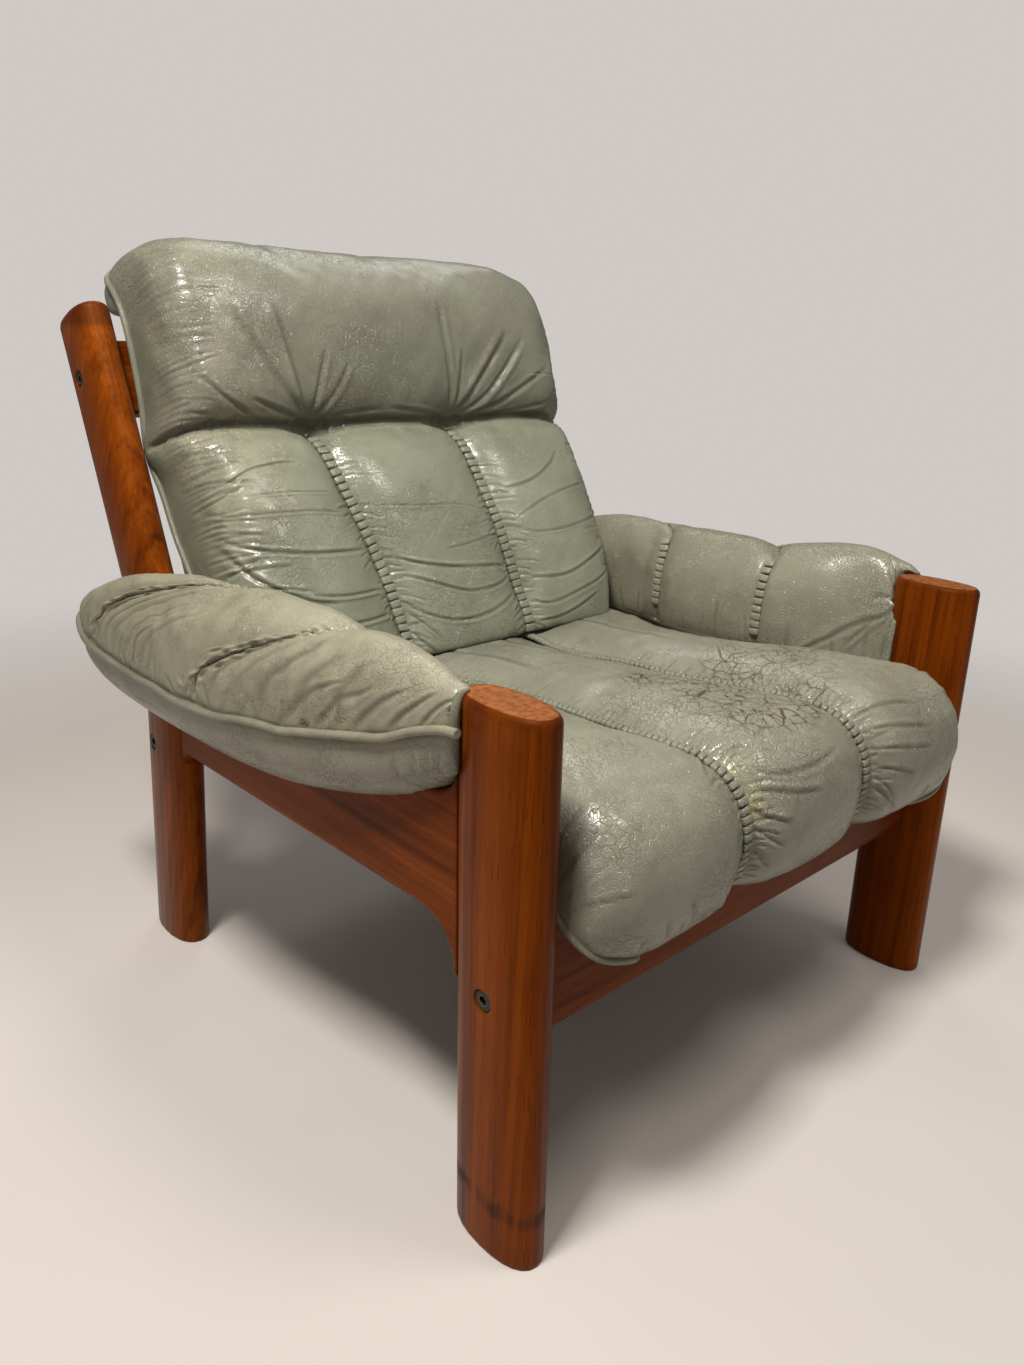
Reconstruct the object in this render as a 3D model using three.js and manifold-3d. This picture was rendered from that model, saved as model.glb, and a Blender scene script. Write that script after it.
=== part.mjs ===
import * as THREE from 'three';
import { mergeVertices } from 'three/addons/utils/BufferGeometryUtils.js';
import Module from 'manifold-3d';

// Worn club chair: a bolted teak frame that carries a seat cushion, a back cushion and two arm pads
// of sage-green leather. Millimetres, +Z up, -Y to the front, left and right as seen from the front.

// Teak frame
const frameWidth = 780;
const footSpacing = 680;
const legThickness = 52;
const legDepth = 106;
const legSquareness = 2.3;
const frontLegHeight = 540;
const frontLegLean = 1.4;
const rearLegLean = 4.5;
const bendHeight = 378;
const bendRadius = 160;
const postLength = 478;
const postLean = 23.1;
const postDepth = 98;
const footRounding = 3;
const topRounding = 8;

// Side rails
const railThickness = 30;
const railInset = 11;
const railLowerFront = 315;
const railLowerRear = 296;
const railUpperFront = 438;
const railUpperRear = 424;
const railLowerSweep = 52;
const railSweepStretch = 1.2;
const railUpperSweep = 40;
const railRearSweep = 16;
const railEdgeRounding = 5;
const railTenon = 16;

// Stretchers and upper back rail
const frontStretcherThickness = 26;
const frontStretcherHeight = 118;
const rearStretcherThickness = 26;
const rearStretcherHeight = 84;
const backRailThickness = 24;
const backRailHeight = 96;
const barEdgeRounding = 5;

// Bolts and barrel nuts
const boltHeadDiameter = 21;
const boltHeadHeight = 7;
const boltHeadRecess = 1.2;
const boltHeadChamfer = 1.2;
const boltShankDiameter = 8;
const boltGrip = 46;
const boltSocketWidth = 9;
const boltSocketDepth = 4;
const nutDiameter = 13;
const nutSetback = 32;
const nutCover = 4;
const frontBoltHeight = 271;
const rearBoltHeight = 293;
const rearBoltSetback = 13;
const postBoltDrop = 84;

// Straps under and behind the cushions
const seatStrapCount = 5;
const seatStrapWidth = 52;
const seatStrapThickness = 3;
const seatStrapPitch = 100;
const seatStrapRise = 11;
const strapGrooveDepth = 10;
const backStrapCount = 4;
const backStrapWidth = 50;
const backStrapThickness = 3;
const backStrapPitch = 150;
const backStrapUpperLap = 78;
const backStrapLowerLap = 60;

// Seat cushion
const seatNoseClearance = 4;
const seatFrontThickness = 118;
const seatRearThickness = 78;
const seatRearEnd = 238;
const seatNoseThickness = 66;
const seatLipDrop = 41;
const seatLipRise = 33;
const seatCornerRadius = 8;
const seatBoxing = 16;
const seatSideRounding = 52;
const seatRearRounding = 45;
const seatSeamDepth = 15;
const seatTaperPower = 1.25;
const seatFoldPower = 1.5;
const seatEdgePower = 2.5;

// Back cushion, measured along the back from the bend of the posts and square to it
const backClearance = 11;
const backBottomHeight = 404;
const backBottomAlong = 14;
const backBottomReach = 174;
const backLowerBulge = 14;
const backSeamDrop = 188;
const backSeamReach = 142;
const backSeamNotch = 30;
const backSideRounding = 70;
const backBoxing = 24;
const backSeamDepth = 20;
const backSeamDriftLeft = 34;
const backSeamDriftRight = 13;
const backSidePower = 3;
const headerReach = 150;
const headerCurveDrop = 42;
const headerTopRise = 79;
const headerCornerRadius = 125;
const headerCornerPower = 2.2;
const headerLeftCornerDrop = 34;
const headerRightCornerDrop = 98;
const headerRearDrop = 20;
const headerOverhang = 22;
const headerStart = 24;
const gatherDepth = 10;
const gatherWidth = 20;
const gatherReach = 70;
const strapSagPower = 6;

// Arm pads: how far they bulge past the inner and outer faces of the legs, where they do so,
// and heights from the front end to the rear end over three sections of equal share
const padMiddleBulge = 37;
const padRearBulge = 4;
const padBulgeLength = 160;
const padRetreatStart = 40;
const padRetreatEnd = 140;
const padFrontOverhang = 8;
const padMiddleOverhang = 48;
const padRearOverhang = 34;
const padInnerShoulder = 446;
const padInnerSkirt = 374;
const padInnerPlaces = [-105, 85, 268];
const padOuterPlaces = [110, 384, 456];
const padPipingHeights = [512, 453, 423, 420, 424, 438, 448];
const padCrownHeights = [538, 555, 551, 550, 549, 539, 512];
const padBandHeights = [464, 412, 372, 357, 354, 360, 371];
const padSeamDepth = 9;
const padFrontOverlap = 22;
const padEndRounding = 34;
const padRearFullness = 0.72;
const padFrontFullness = 0.93;
const padEndPower = 2.2;
const padCrownPower = 2.1;
const padBellyPower = 3;
const padSkirtStart = 0.3;
const padSkirtEnd = 0.56;
const padFanFront = 4.5;
const padFanRear = 2;

// Clearances
const jointGap = 0.3;
const cushionGap = 0.5;

// Stuffing
const stuffedPower = 2.2;
const leastBoxing = 0.6;

// Facets
const legSegments = 24;
const bendSteps = 5;
const edgeSteps = 3;
const barCornerSteps = 3;
const railSweepSteps = 6;
const railEdgeSteps = 2;
const boltSegments = 14;
const nutSegments = 10;
const panelCount = 3;
const panelSteps = 7;
const padSectionSegments = 24;

const wasm = await Module();
wasm.setup();

const radians = THREE.MathUtils.degToRad;
const lerp = THREE.MathUtils.lerp;
const smoothstep = THREE.MathUtils.smoothstep;

const teak = new THREE.MeshStandardMaterial({ color: 0x9a5a2e, roughness: 0.42, metalness: 0 });
const shadedTeak = new THREE.MeshStandardMaterial({ color: 0x7c4120, roughness: 0.5, metalness: 0 });
const blackSteel = new THREE.MeshStandardMaterial({ color: 0x2b2926, roughness: 0.45, metalness: 0.8 });
const zincSteel = new THREE.MeshStandardMaterial({ color: 0x9b9a94, roughness: 0.4, metalness: 0.9 });
const webbing = new THREE.MeshStandardMaterial({ color: 0x3b342b, roughness: 0.9, metalness: 0 });
const leather = new THREE.MeshStandardMaterial({ color: 0x8d9580, roughness: 0.45, metalness: 0 });

// A closed body through rings of equally many points, with a ladder of faces over both end rings
function loft(rings) {
  const count = rings[0].length;
  const points = rings.flat();
  const triangles = [];
  for (let ring = 0; ring + 1 < rings.length; ring += 1) {
    for (let step = 0; step < count; step += 1) {
      const next = (step + 1) % count;
      const a = ring * count + step;
      const b = ring * count + next;
      triangles.push([a, b, b + count], [a, b + count, a + count]);
    }
  }
  const last = points.length - count;
  for (let step = 0; step < count / 2 - 1; step += 1) {
    const a = step;
    const b = step + 1;
    const c = count - 2 - step;
    const d = count - 1 - step;
    triangles.push([a, c, b], [a, d, c]);
    triangles.push([last + a, last + b, last + c], [last + a, last + c, last + d]);
  }
  const cross = new THREE.Vector3();
  let volume = 0;
  for (const [a, b, c] of triangles) {
    volume += points[a].dot(cross.crossVectors(points[b], points[c]));
  }
  const geometry = new THREE.BufferGeometry();
  const index = triangles.flatMap(([a, b, c]) => (volume > 0 ? [a, b, c] : [a, c, b]));
  geometry.setFromPoints(points);
  geometry.setIndex(index);
  geometry.computeVertexNormals();
  return geometry;
}

function toSolid(geometry) {
  const plain = geometry.clone();
  plain.deleteAttribute('normal');
  plain.deleteAttribute('uv');
  const merged = mergeVertices(plain, 1e-4);
  return new wasm.Manifold(new wasm.Mesh({
    numProp: 3,
    vertProperties: new Float32Array(merged.attributes.position.array),
    triVerts: new Uint32Array(merged.index.array),
  }));
}

function fromSolid(solid) {
  const mesh = solid.getMesh();
  const geometry = new THREE.BufferGeometry();
  geometry.setAttribute('position', new THREE.BufferAttribute(mesh.vertProperties, 3));
  geometry.setIndex(new THREE.BufferAttribute(mesh.triVerts, 1));
  geometry.computeVertexNormals();
  return geometry;
}

// Cuts bodies that are placed in the chair out of a mesh, in the mesh's own frame
function carve(mesh, cutters) {
  mesh.updateMatrix();
  const inverse = mesh.matrix.clone().invert();
  let solid = toSolid(mesh.geometry);
  for (const cutter of cutters) {
    solid = solid.subtract(toSolid(cutter.clone().applyMatrix4(inverse)));
  }
  mesh.geometry = fromSolid(solid);
}

function sub(name, geometry, material, position, tilt = 0) {
  const mesh = new THREE.Mesh(geometry, material);
  mesh.name = name;
  mesh.position.copy(position);
  mesh.rotation.x = tilt;
  mesh.updateMatrix();
  return mesh;
}

function placed(mesh, geometry) {
  return geometry.clone().applyMatrix4(mesh.matrix);
}

const signedPower = (value, power) => Math.sign(value) * Math.abs(value) ** power;

// Quarter of a superellipse: 1 at the start of a rounded border, 0 at its end
const roundOff = (share, power) => (1 - THREE.MathUtils.clamp(share, 0, 1) ** power) ** (1 / power);

// Height of a stuffed panel between its two seams, 0 at a seam and 1 in the middle
const stuffed = (share) => Math.sqrt(1 - Math.abs(2 * share - 1) ** stuffedPower);

// Shares across a row of panels, closer together near each seam, with the share inside the panel
function panelShares(edges, steps) {
  const shares = [];
  for (let panel = 0; panel + 1 < edges.length; panel += 1) {
    for (let step = panel === 0 ? 0 : 1; step <= steps; step += 1) {
      const inside = (1 - Math.cos((Math.PI * step) / steps)) / 2;
      shares.push({ share: lerp(edges[panel], edges[panel + 1], inside), inside });
    }
  }
  return shares;
}

// Frame of the chair: leg axes, and the plane of the posts as a direction along and one square to it
const legCentre = frameWidth / 2 - legThickness / 2;
const legInner = frameWidth / 2 - legThickness;
const frontFoot = -footSpacing / 2;
const rearFoot = footSpacing / 2;
const frontAxis = (height) => frontFoot + Math.tan(radians(frontLegLean)) * height;
const rearAxis = (height) => rearFoot - Math.tan(radians(rearLegLean)) * height;
const leanSin = Math.sin(radians(postLean));
const leanCos = Math.cos(radians(postLean));
const bendPoint = new THREE.Vector3(0, rearAxis(bendHeight), bendHeight);
const postBoltAlong = postLength - postBoltDrop;

// A point of the back: across the chair, along the posts from their bend, and forward of their plane
function backPoint(across, along, forward) {
  return new THREE.Vector3(
    across,
    bendPoint.y + leanSin * along - leanCos * forward,
    bendPoint.z + leanCos * along + leanSin * forward,
  );
}

// One lens-shaped cross-section of a leg or post
function legSection(centre, tilt, halfThickness, halfDepth) {
  const ring = [];
  for (let step = 0; step < legSegments; step += 1) {
    const angle = (2 * Math.PI * step) / legSegments;
    const across = signedPower(Math.cos(angle), 2 / legSquareness) * halfThickness;
    const deep = signedPower(Math.sin(angle), 2 / legSquareness) * halfDepth;
    const y = centre.y + deep * Math.cos(tilt);
    const z = centre.z - deep * Math.sin(tilt);
    ring.push(new THREE.Vector3(across, y, z));
  }
  return ring;
}

// Steps of a rounded end: how far from the end, and how far inside the full outline
function roundedEnd(radius) {
  const steps = [];
  for (let step = 0; step <= edgeSteps; step += 1) {
    const angle = (Math.PI / 2) * (step / edgeSteps);
    steps.push({ from: radius * (1 - Math.sin(angle)), inset: radius * (1 - Math.cos(angle)) });
  }
  return steps;
}

// Front leg, upright with a slight backward lean, from its foot at the origin
function frontLegGeometry(grow) {
  const lean = Math.tan(radians(frontLegLean));
  const rings = [];
  const ringAt = (height, inset) => {
    const centre = new THREE.Vector3(0, lean * height, height);
    const halfThickness = legThickness / 2 - inset + grow;
    rings.push(legSection(centre, 0, halfThickness, legDepth / 2 - inset + grow));
  };
  for (const { from, inset } of roundedEnd(footRounding).reverse()) {
    ringAt(from, inset);
  }
  for (const { from, inset } of roundedEnd(topRounding)) {
    ringAt(frontLegHeight - from, inset);
  }
  return loft(rings);
}

// Rear leg that leans forward to its bend and runs on as the back post, from its foot at the origin
function rearLegGeometry(grow) {
  const rings = [];
  const footward = new THREE.Vector3(0, Math.sin(radians(rearLegLean)), -Math.cos(radians(rearLegLean)));
  const upward = new THREE.Vector3(0, leanSin, leanCos);
  const bend = bendPoint.clone().sub(new THREE.Vector3(0, rearFoot, 0));
  const ringAt = (centre, tilt, depth, inset) => {
    const halfThickness = legThickness / 2 - inset + grow;
    rings.push(legSection(centre, tilt, halfThickness, depth / 2 - inset + grow));
  };
  for (const { from, inset } of roundedEnd(footRounding).reverse()) {
    const foot = new THREE.Vector3(0, -Math.tan(radians(rearLegLean)) * from, from);
    ringAt(foot, 0, legDepth, inset);
  }
  const turn = radians(rearLegLean + postLean);
  const tangent = bendRadius * Math.tan(turn / 2);
  for (let step = 0; step <= bendSteps; step += 1) {
    const share = step / bendSteps;
    const before = bend.clone().addScaledVector(footward, tangent * (1 - share));
    const after = bend.clone().addScaledVector(upward, tangent * share);
    const depth = lerp(legDepth, postDepth, share);
    ringAt(before.lerp(after, share), radians(postLean) * share, depth, 0);
  }
  for (const { from, inset } of roundedEnd(topRounding)) {
    const top = bend.clone().addScaledVector(upward, postLength - from);
    ringAt(top, radians(postLean), postDepth, inset);
  }
  return loft(rings);
}

// Moves an outline drawn in Y and Z and extruded along Z into the chair, so that it runs along X
function alongX(geometry) {
  const turn = new THREE.Matrix4().makeBasis(
    new THREE.Vector3(0, 1, 0),
    new THREE.Vector3(0, 0, 1),
    new THREE.Vector3(1, 0, 0),
  );
  return geometry.applyMatrix4(turn);
}

// Lower edge of the side rails, which also sets the height of the seat straps
const railFrontEnd = frontAxis(railLowerFront) + legDepth / 2;
const railRearEnd = rearAxis(railLowerRear) - legDepth / 2;
const railLower = (y) => {
  return lerp(railLowerFront, railLowerRear, (y - railFrontEnd) / (railRearEnd - railFrontEnd));
};

// Side rail as an outline that sweeps down and up into the front leg and runs into the rear leg
function railGeometry(grow) {
  const outline = new THREE.Shape();
  const frontTenon = railFrontEnd - railTenon;
  const rearTenon = bendPoint.y;
  const lowerSweepEnd = railFrontEnd + railLowerSweep * railSweepStretch;
  const rearSweepStart = railRearEnd - railRearSweep;
  const upperSweepEnd = railFrontEnd + railUpperSweep;
  outline.moveTo(frontTenon, railLowerFront - railLowerSweep);
  outline.lineTo(railFrontEnd, railLowerFront - railLowerSweep);
  outline.quadraticCurveTo(railFrontEnd, railLowerFront, lowerSweepEnd, railLower(lowerSweepEnd));
  outline.lineTo(rearSweepStart, railLower(rearSweepStart));
  outline.quadraticCurveTo(railRearEnd, railLowerRear, railRearEnd, railLowerRear - railRearSweep);
  outline.lineTo(rearTenon, railLowerRear - railRearSweep);
  outline.lineTo(rearTenon, railUpperRear + grow);
  outline.lineTo(upperSweepEnd, railUpperFront + grow);
  const upperTop = railUpperFront + railUpperSweep + grow;
  outline.quadraticCurveTo(railFrontEnd, railUpperFront + grow, railFrontEnd, upperTop);
  outline.lineTo(frontTenon, upperTop);
  outline.closePath();
  const rounding = grow > 0 ? 0 : railEdgeRounding;
  const depth = railThickness + 2 * grow - 2 * rounding;
  const geometry = new THREE.ExtrudeGeometry(outline, {
    depth,
    curveSegments: railSweepSteps,
    bevelEnabled: rounding > 0,
    bevelThickness: rounding,
    bevelSize: rounding,
    bevelOffset: -rounding,
    bevelSegments: railEdgeSteps,
  });
  geometry.translate(0, 0, -depth / 2);
  return alongX(geometry);
}

// Straight bar of rounded rectangular section between the two sides of the frame
function barGeometry(thickness, height) {
  const halfDeep = thickness / 2;
  const halfHigh = height / 2;
  const corner = barEdgeRounding;
  const outline = new THREE.Shape();
  outline.moveTo(-halfDeep + corner, -halfHigh);
  outline.lineTo(halfDeep - corner, -halfHigh);
  outline.absarc(halfDeep - corner, -halfHigh + corner, corner, -Math.PI / 2, 0, false);
  outline.absarc(halfDeep - corner, halfHigh - corner, corner, 0, Math.PI / 2, false);
  outline.absarc(-halfDeep + corner, halfHigh - corner, corner, Math.PI / 2, Math.PI, false);
  outline.absarc(-halfDeep + corner, -halfHigh + corner, corner, Math.PI, Math.PI * 1.5, false);
  const length = 2 * legCentre;
  const geometry = new THREE.ExtrudeGeometry(outline, {
    depth: length,
    curveSegments: barCornerSteps,
    bevelEnabled: false,
  });
  geometry.translate(0, 0, -length / 2);
  return alongX(geometry);
}

// Bolt along X: its head sits in the outer face of the leg and its shank ends inside the bar
const boltSeat = frameWidth / 2 - boltHeadRecess - boltHeadHeight;
const boltLength = boltSeat - legInner + boltGrip;

function turnedAlongX(side, profile, segments) {
  const points = profile.map(([radius, out]) => new THREE.Vector2(radius, out));
  return new THREE.LatheGeometry(points, segments).rotateZ(-side * Math.PI / 2);
}

function boltGeometry(side) {
  const head = boltHeadDiameter / 2;
  const shank = boltShankDiameter / 2;
  const body = turnedAlongX(side, [
    [0, -boltLength],
    [shank, -boltLength],
    [shank, 0],
    [head, 0],
    [head, boltHeadHeight - boltHeadChamfer],
    [head - boltHeadChamfer, boltHeadHeight],
    [0, boltHeadHeight],
  ], boltSegments);
  const socket = new THREE.CylinderGeometry(1, 1, 2 * boltSocketDepth, 6);
  socket.scale(boltSocketWidth / Math.sqrt(3), 1, boltSocketWidth / Math.sqrt(3));
  socket.rotateZ(Math.PI / 2);
  socket.translate(side * boltHeadHeight, 0, 0);
  return fromSolid(toSolid(body).subtract(toSolid(socket)));
}

function boltHoleGeometry(side) {
  const head = boltHeadDiameter / 2 + jointGap;
  const shank = boltShankDiameter / 2 + jointGap;
  return turnedAlongX(side, [
    [0, -boltLength - jointGap],
    [shank, -boltLength - jointGap],
    [shank, -jointGap],
    [head, -jointGap],
    [head, boltHeadHeight + 2 * legThickness],
    [0, boltHeadHeight + 2 * legThickness],
  ], boltSegments);
}

// Barrel nut across the bar, and its hole from the rear face that leaves the front face whole
function nutGeometry(thickness) {
  const radius = nutDiameter / 2;
  const nut = new THREE.CylinderGeometry(radius, radius, thickness - 2 * nutCover, nutSegments);
  const bore = new THREE.CylinderGeometry(1, 1, 2 * nutDiameter, nutSegments);
  const boreRadius = boltShankDiameter / 2 + jointGap;
  bore.scale(boreRadius, 1, boreRadius);
  bore.rotateZ(Math.PI / 2);
  return fromSolid(toSolid(nut).subtract(toSolid(bore)));
}

function nutHoleGeometry(thickness) {
  const radius = nutDiameter / 2 + jointGap;
  const length = thickness - nutCover + jointGap;
  const hole = new THREE.CylinderGeometry(radius, radius, length, nutSegments);
  return hole.translate(0, thickness / 2 - (nutCover - jointGap) - length / 2 + nutCover, 0);
}

const chair = new THREE.Group();
const sides = [[-1, 'left'], [1, 'right']];

// Bars across the chair, each with the place of the bolt at its ends
const bars = [
  {
    name: 'front_stretcher',
    bolt: 'front',
    thickness: frontStretcherThickness,
    height: frontStretcherHeight,
    centre: new THREE.Vector3(0, frontAxis(frontBoltHeight), frontBoltHeight),
    tilt: 0,
    material: teak,
  },
  {
    name: 'rear_stretcher',
    bolt: 'rear',
    thickness: rearStretcherThickness,
    height: rearStretcherHeight,
    centre: new THREE.Vector3(0, rearAxis(rearBoltHeight) + rearBoltSetback, rearBoltHeight),
    tilt: 0,
    material: teak,
  },
  {
    name: 'upper_back_rail',
    bolt: 'post',
    thickness: backRailThickness,
    height: backRailHeight,
    centre: backPoint(0, postBoltAlong, 0),
    tilt: -radians(postLean),
    material: shadedTeak,
  },
];

const holes = [];
const legBlocks = [];
const frontLegs = [];
const rearLegs = [];
for (const [side, name] of sides) {
  const frontPlace = new THREE.Vector3(side * legCentre, frontFoot, 0);
  const rearPlace = new THREE.Vector3(side * legCentre, rearFoot, 0);
  const frontLeg = sub(`${name}_front_leg`, frontLegGeometry(0), teak, frontPlace);
  const rearLeg = sub(`${name}_rear_leg_and_post`, rearLegGeometry(0), teak, rearPlace);
  frontLegs.push(frontLeg);
  rearLegs.push(rearLeg);
  legBlocks.push(placed(frontLeg, frontLegGeometry(jointGap)));
  legBlocks.push(placed(rearLeg, rearLegGeometry(jointGap)));
}

for (const bar of bars) {
  const mesh = sub(bar.name, barGeometry(bar.thickness, bar.height), bar.material, bar.centre, bar.tilt);
  const barHoles = [];
  for (const [side, name] of sides) {
    const seat = bar.centre.clone().setX(side * boltSeat);
    const bolt = sub(`${name}_${bar.bolt}_bolt`, boltGeometry(side), blackSteel, seat);
    const hole = placed(bolt, boltHoleGeometry(side));
    barHoles.push(hole);
    holes.push(hole);
    chair.add(bolt);
    const nutPlace = bar.centre.clone().setX(side * (legInner - nutSetback));
    const nut = sub(`${name}_${bar.bolt}_nut`, nutGeometry(bar.thickness), zincSteel, nutPlace, bar.tilt);
    barHoles.push(placed(nut, nutHoleGeometry(bar.thickness)));
    chair.add(nut);
  }
  carve(mesh, [...legBlocks, ...barHoles]);
  chair.add(mesh);
}

for (const leg of [...frontLegs, ...rearLegs]) {
  carve(leg, holes.filter((hole) => {
    hole.computeBoundingBox();
    return Math.sign(hole.boundingBox.getCenter(new THREE.Vector3()).x) === Math.sign(leg.position.x);
  }));
  chair.add(leg);
}

// Seat straps run from rail to rail, with their ends in grooves of the rails' inner faces
const railCentre = frameWidth / 2 - railInset - railThickness / 2;
const railInner = railCentre - railThickness / 2;
const seatGrooves = [];
const strapSlope = Math.atan((railLowerRear - railLowerFront) / (railRearEnd - railFrontEnd));
const strapLength = 2 * (railInner + strapGrooveDepth - jointGap);
for (let index = 0; index < seatStrapCount; index += 1) {
  const y = (index - (seatStrapCount - 1) / 2) * seatStrapPitch;
  const place = new THREE.Vector3(0, y, railLower(y) + seatStrapRise + seatStrapThickness / 2);
  const strip = new THREE.BoxGeometry(strapLength, seatStrapWidth, seatStrapThickness);
  const strap = sub(`seat_strap_${index + 1}`, strip, webbing, place, strapSlope);
  const slot = new THREE.BoxGeometry(
    strapLength + 2 * jointGap,
    seatStrapWidth + 2 * jointGap,
    seatStrapThickness + 2 * jointGap,
  );
  seatGrooves.push(placed(strap, slot));
  chair.add(strap);
}

const padBlocks = [];
for (const [side, name] of sides) {
  const rail = sub(`${name}_side_rail`, railGeometry(0), teak, new THREE.Vector3(side * railCentre, 0, 0));
  padBlocks.push(placed(rail, railGeometry(cushionGap)));
  carve(rail, [...legBlocks, ...seatGrooves]);
  chair.add(rail);
}

// Back straps lie on the front of the upper rail, run down and lie on the front of the rear stretcher
function backStrapGeometry() {
  const railFront = backRailThickness / 2 + jointGap;
  const lapTop = backPoint(0, postBoltAlong - backRailHeight / 2 + backStrapUpperLap, railFront);
  const lapEnd = backPoint(0, postBoltAlong - backRailHeight / 2, railFront);
  const stretcher = bars[1];
  const stretcherFront = stretcher.centre.y - stretcher.thickness / 2 - jointGap;
  const stretcherTop = stretcher.centre.z + stretcher.height / 2;
  const line = [
    lapTop,
    lapEnd,
    new THREE.Vector3(0, stretcherFront, stretcherTop),
    new THREE.Vector3(0, stretcherFront, stretcherTop - backStrapLowerLap),
  ];
  const front = line.map((point, index) => {
    const before = line[Math.max(index - 1, 0)];
    const after = line[Math.min(index + 1, line.length - 1)];
    const run = after.clone().sub(before).normalize();
    return point.clone().add(new THREE.Vector3(0, run.z, -run.y).multiplyScalar(backStrapThickness));
  });
  const outline = [...line, ...front.reverse()].map((point) => new THREE.Vector2(point.y, point.z));
  const strip = new THREE.ExtrudeGeometry(new THREE.Shape(outline), {
    depth: backStrapWidth,
    bevelEnabled: false,
  });
  return alongX(strip.translate(0, 0, -backStrapWidth / 2));
}

for (let index = 0; index < backStrapCount; index += 1) {
  const x = (index - (backStrapCount - 1) / 2) * backStrapPitch;
  const place = new THREE.Vector3(x, 0, 0);
  chair.add(sub(`back_strap_${index + 1}`, backStrapGeometry(), webbing, place));
}

// Inner side of the arm pads: flush with the front leg, bulging in beside the seat,
// and drawn back beside the back cushion
const padFront = frontAxis(frontLegHeight) + legDepth / 2;
const padInner = (y) => {
  const bulge = smoothstep(y, padFront, padFront + padBulgeLength);
  const retreat = smoothstep(y, padRetreatStart, padRetreatEnd);
  return legInner - lerp(padMiddleBulge * bulge, padRearBulge, retreat);
};

// Seat cushion as a slab on the straps that folds over the front stretcher, three stuffed panels wide
function seatGeometry() {
  const underside = (y) => railLower(y) + seatStrapRise + seatStrapThickness + cushionGap;
  const lipInner = bars[0].centre.y - frontStretcherThickness / 2 - cushionGap;
  const cornerY = lipInner + seatCornerRadius;
  const cornerZ = underside(cornerY) - seatCornerRadius;
  const thicknessAt = (y) => {
    const share = (y - cornerY) / (seatRearEnd - cornerY);
    return lerp(seatFrontThickness, seatRearThickness, share ** seatTaperPower);
  };
  const rungs = [];
  const flatSteps = 13;
  for (let step = 0; step <= flatSteps; step += 1) {
    const y = lerp(seatRearEnd, cornerY, Math.sin((Math.PI / 2) * (step / flatSteps)));
    const round = roundOff(1 - (seatRearEnd - y) / seatRearRounding, seatEdgePower);
    const thickness = seatBoxing + (thicknessAt(y) - seatBoxing) * round;
    rungs.push({ y, z: underside(y), outY: 0, outZ: 1, thickness });
  }
  const foldSteps = 7;
  for (let step = 1; step <= foldSteps; step += 1) {
    const angle = (Math.PI / 2) * (step / foldSteps);
    const outY = -Math.sin(angle);
    const outZ = Math.cos(angle);
    const thickness = lerp(seatNoseThickness, seatFrontThickness, Math.cos(angle) ** seatFoldPower);
    const y = cornerY + outY * seatCornerRadius;
    rungs.push({ y, z: cornerZ + outZ * seatCornerRadius, outY, outZ, thickness });
  }
  const lipSteps = 6;
  for (let step = 1; step <= lipSteps; step += 1) {
    const share = Math.sin((Math.PI / 2) * (step / lipSteps));
    const thickness = seatBoxing + (seatNoseThickness - seatBoxing) * roundOff(share, 2);
    rungs.push({ y: lipInner, z: cornerZ, outY: -1, outZ: 0, thickness, drop: share });
  }
  const edges = [-1, -1 / panelCount, 1 / panelCount, 1];
  const rings = panelShares(edges, panelSteps).map(({ share, inside }) => {
    const outer = [];
    const inner = [];
    for (const { y, outY, outZ, thickness, ...rung } of rungs) {
      const halfWidth = Math.min(legInner - seatNoseClearance, padInner(y) - cushionGap);
      const x = share * halfWidth;
      const atSide = Math.abs(share) > 1 / panelCount && (inside < 0.5) === (share < 0);
      const side = roundOff((Math.abs(x) - halfWidth + seatSideRounding) / seatSideRounding, seatEdgePower);
      const seam = atSide ? 0 : seatSeamDepth * (1 - stuffed(inside));
      const full = seatBoxing + (thickness - seatBoxing) * side;
      const z = rung.z - (rung.drop ?? 0) * (seatLipDrop - seatLipRise * (1 - side));
      const reach = Math.max(full - seam, seatBoxing * leastBoxing);
      inner.push(new THREE.Vector3(x, y, z));
      outer.push(new THREE.Vector3(x, y + outY * reach, z + outZ * reach));
    }
    return [...outer, ...inner.reverse()];
  });
  return loft(rings);
}

// How far the back's seams have drifted to the left where they reach the cross seam
function seamDrift(share) {
  const middle = lerp(backSeamDriftLeft, backSeamDriftRight, (share * panelCount + 1) / 2);
  const beside = share < 0 ? backSeamDriftLeft : backSeamDriftRight;
  const toSide = (1 - Math.abs(share)) / (1 - 1 / panelCount);
  return Math.abs(share) < 1 / panelCount ? middle : beside * toSide;
}

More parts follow.
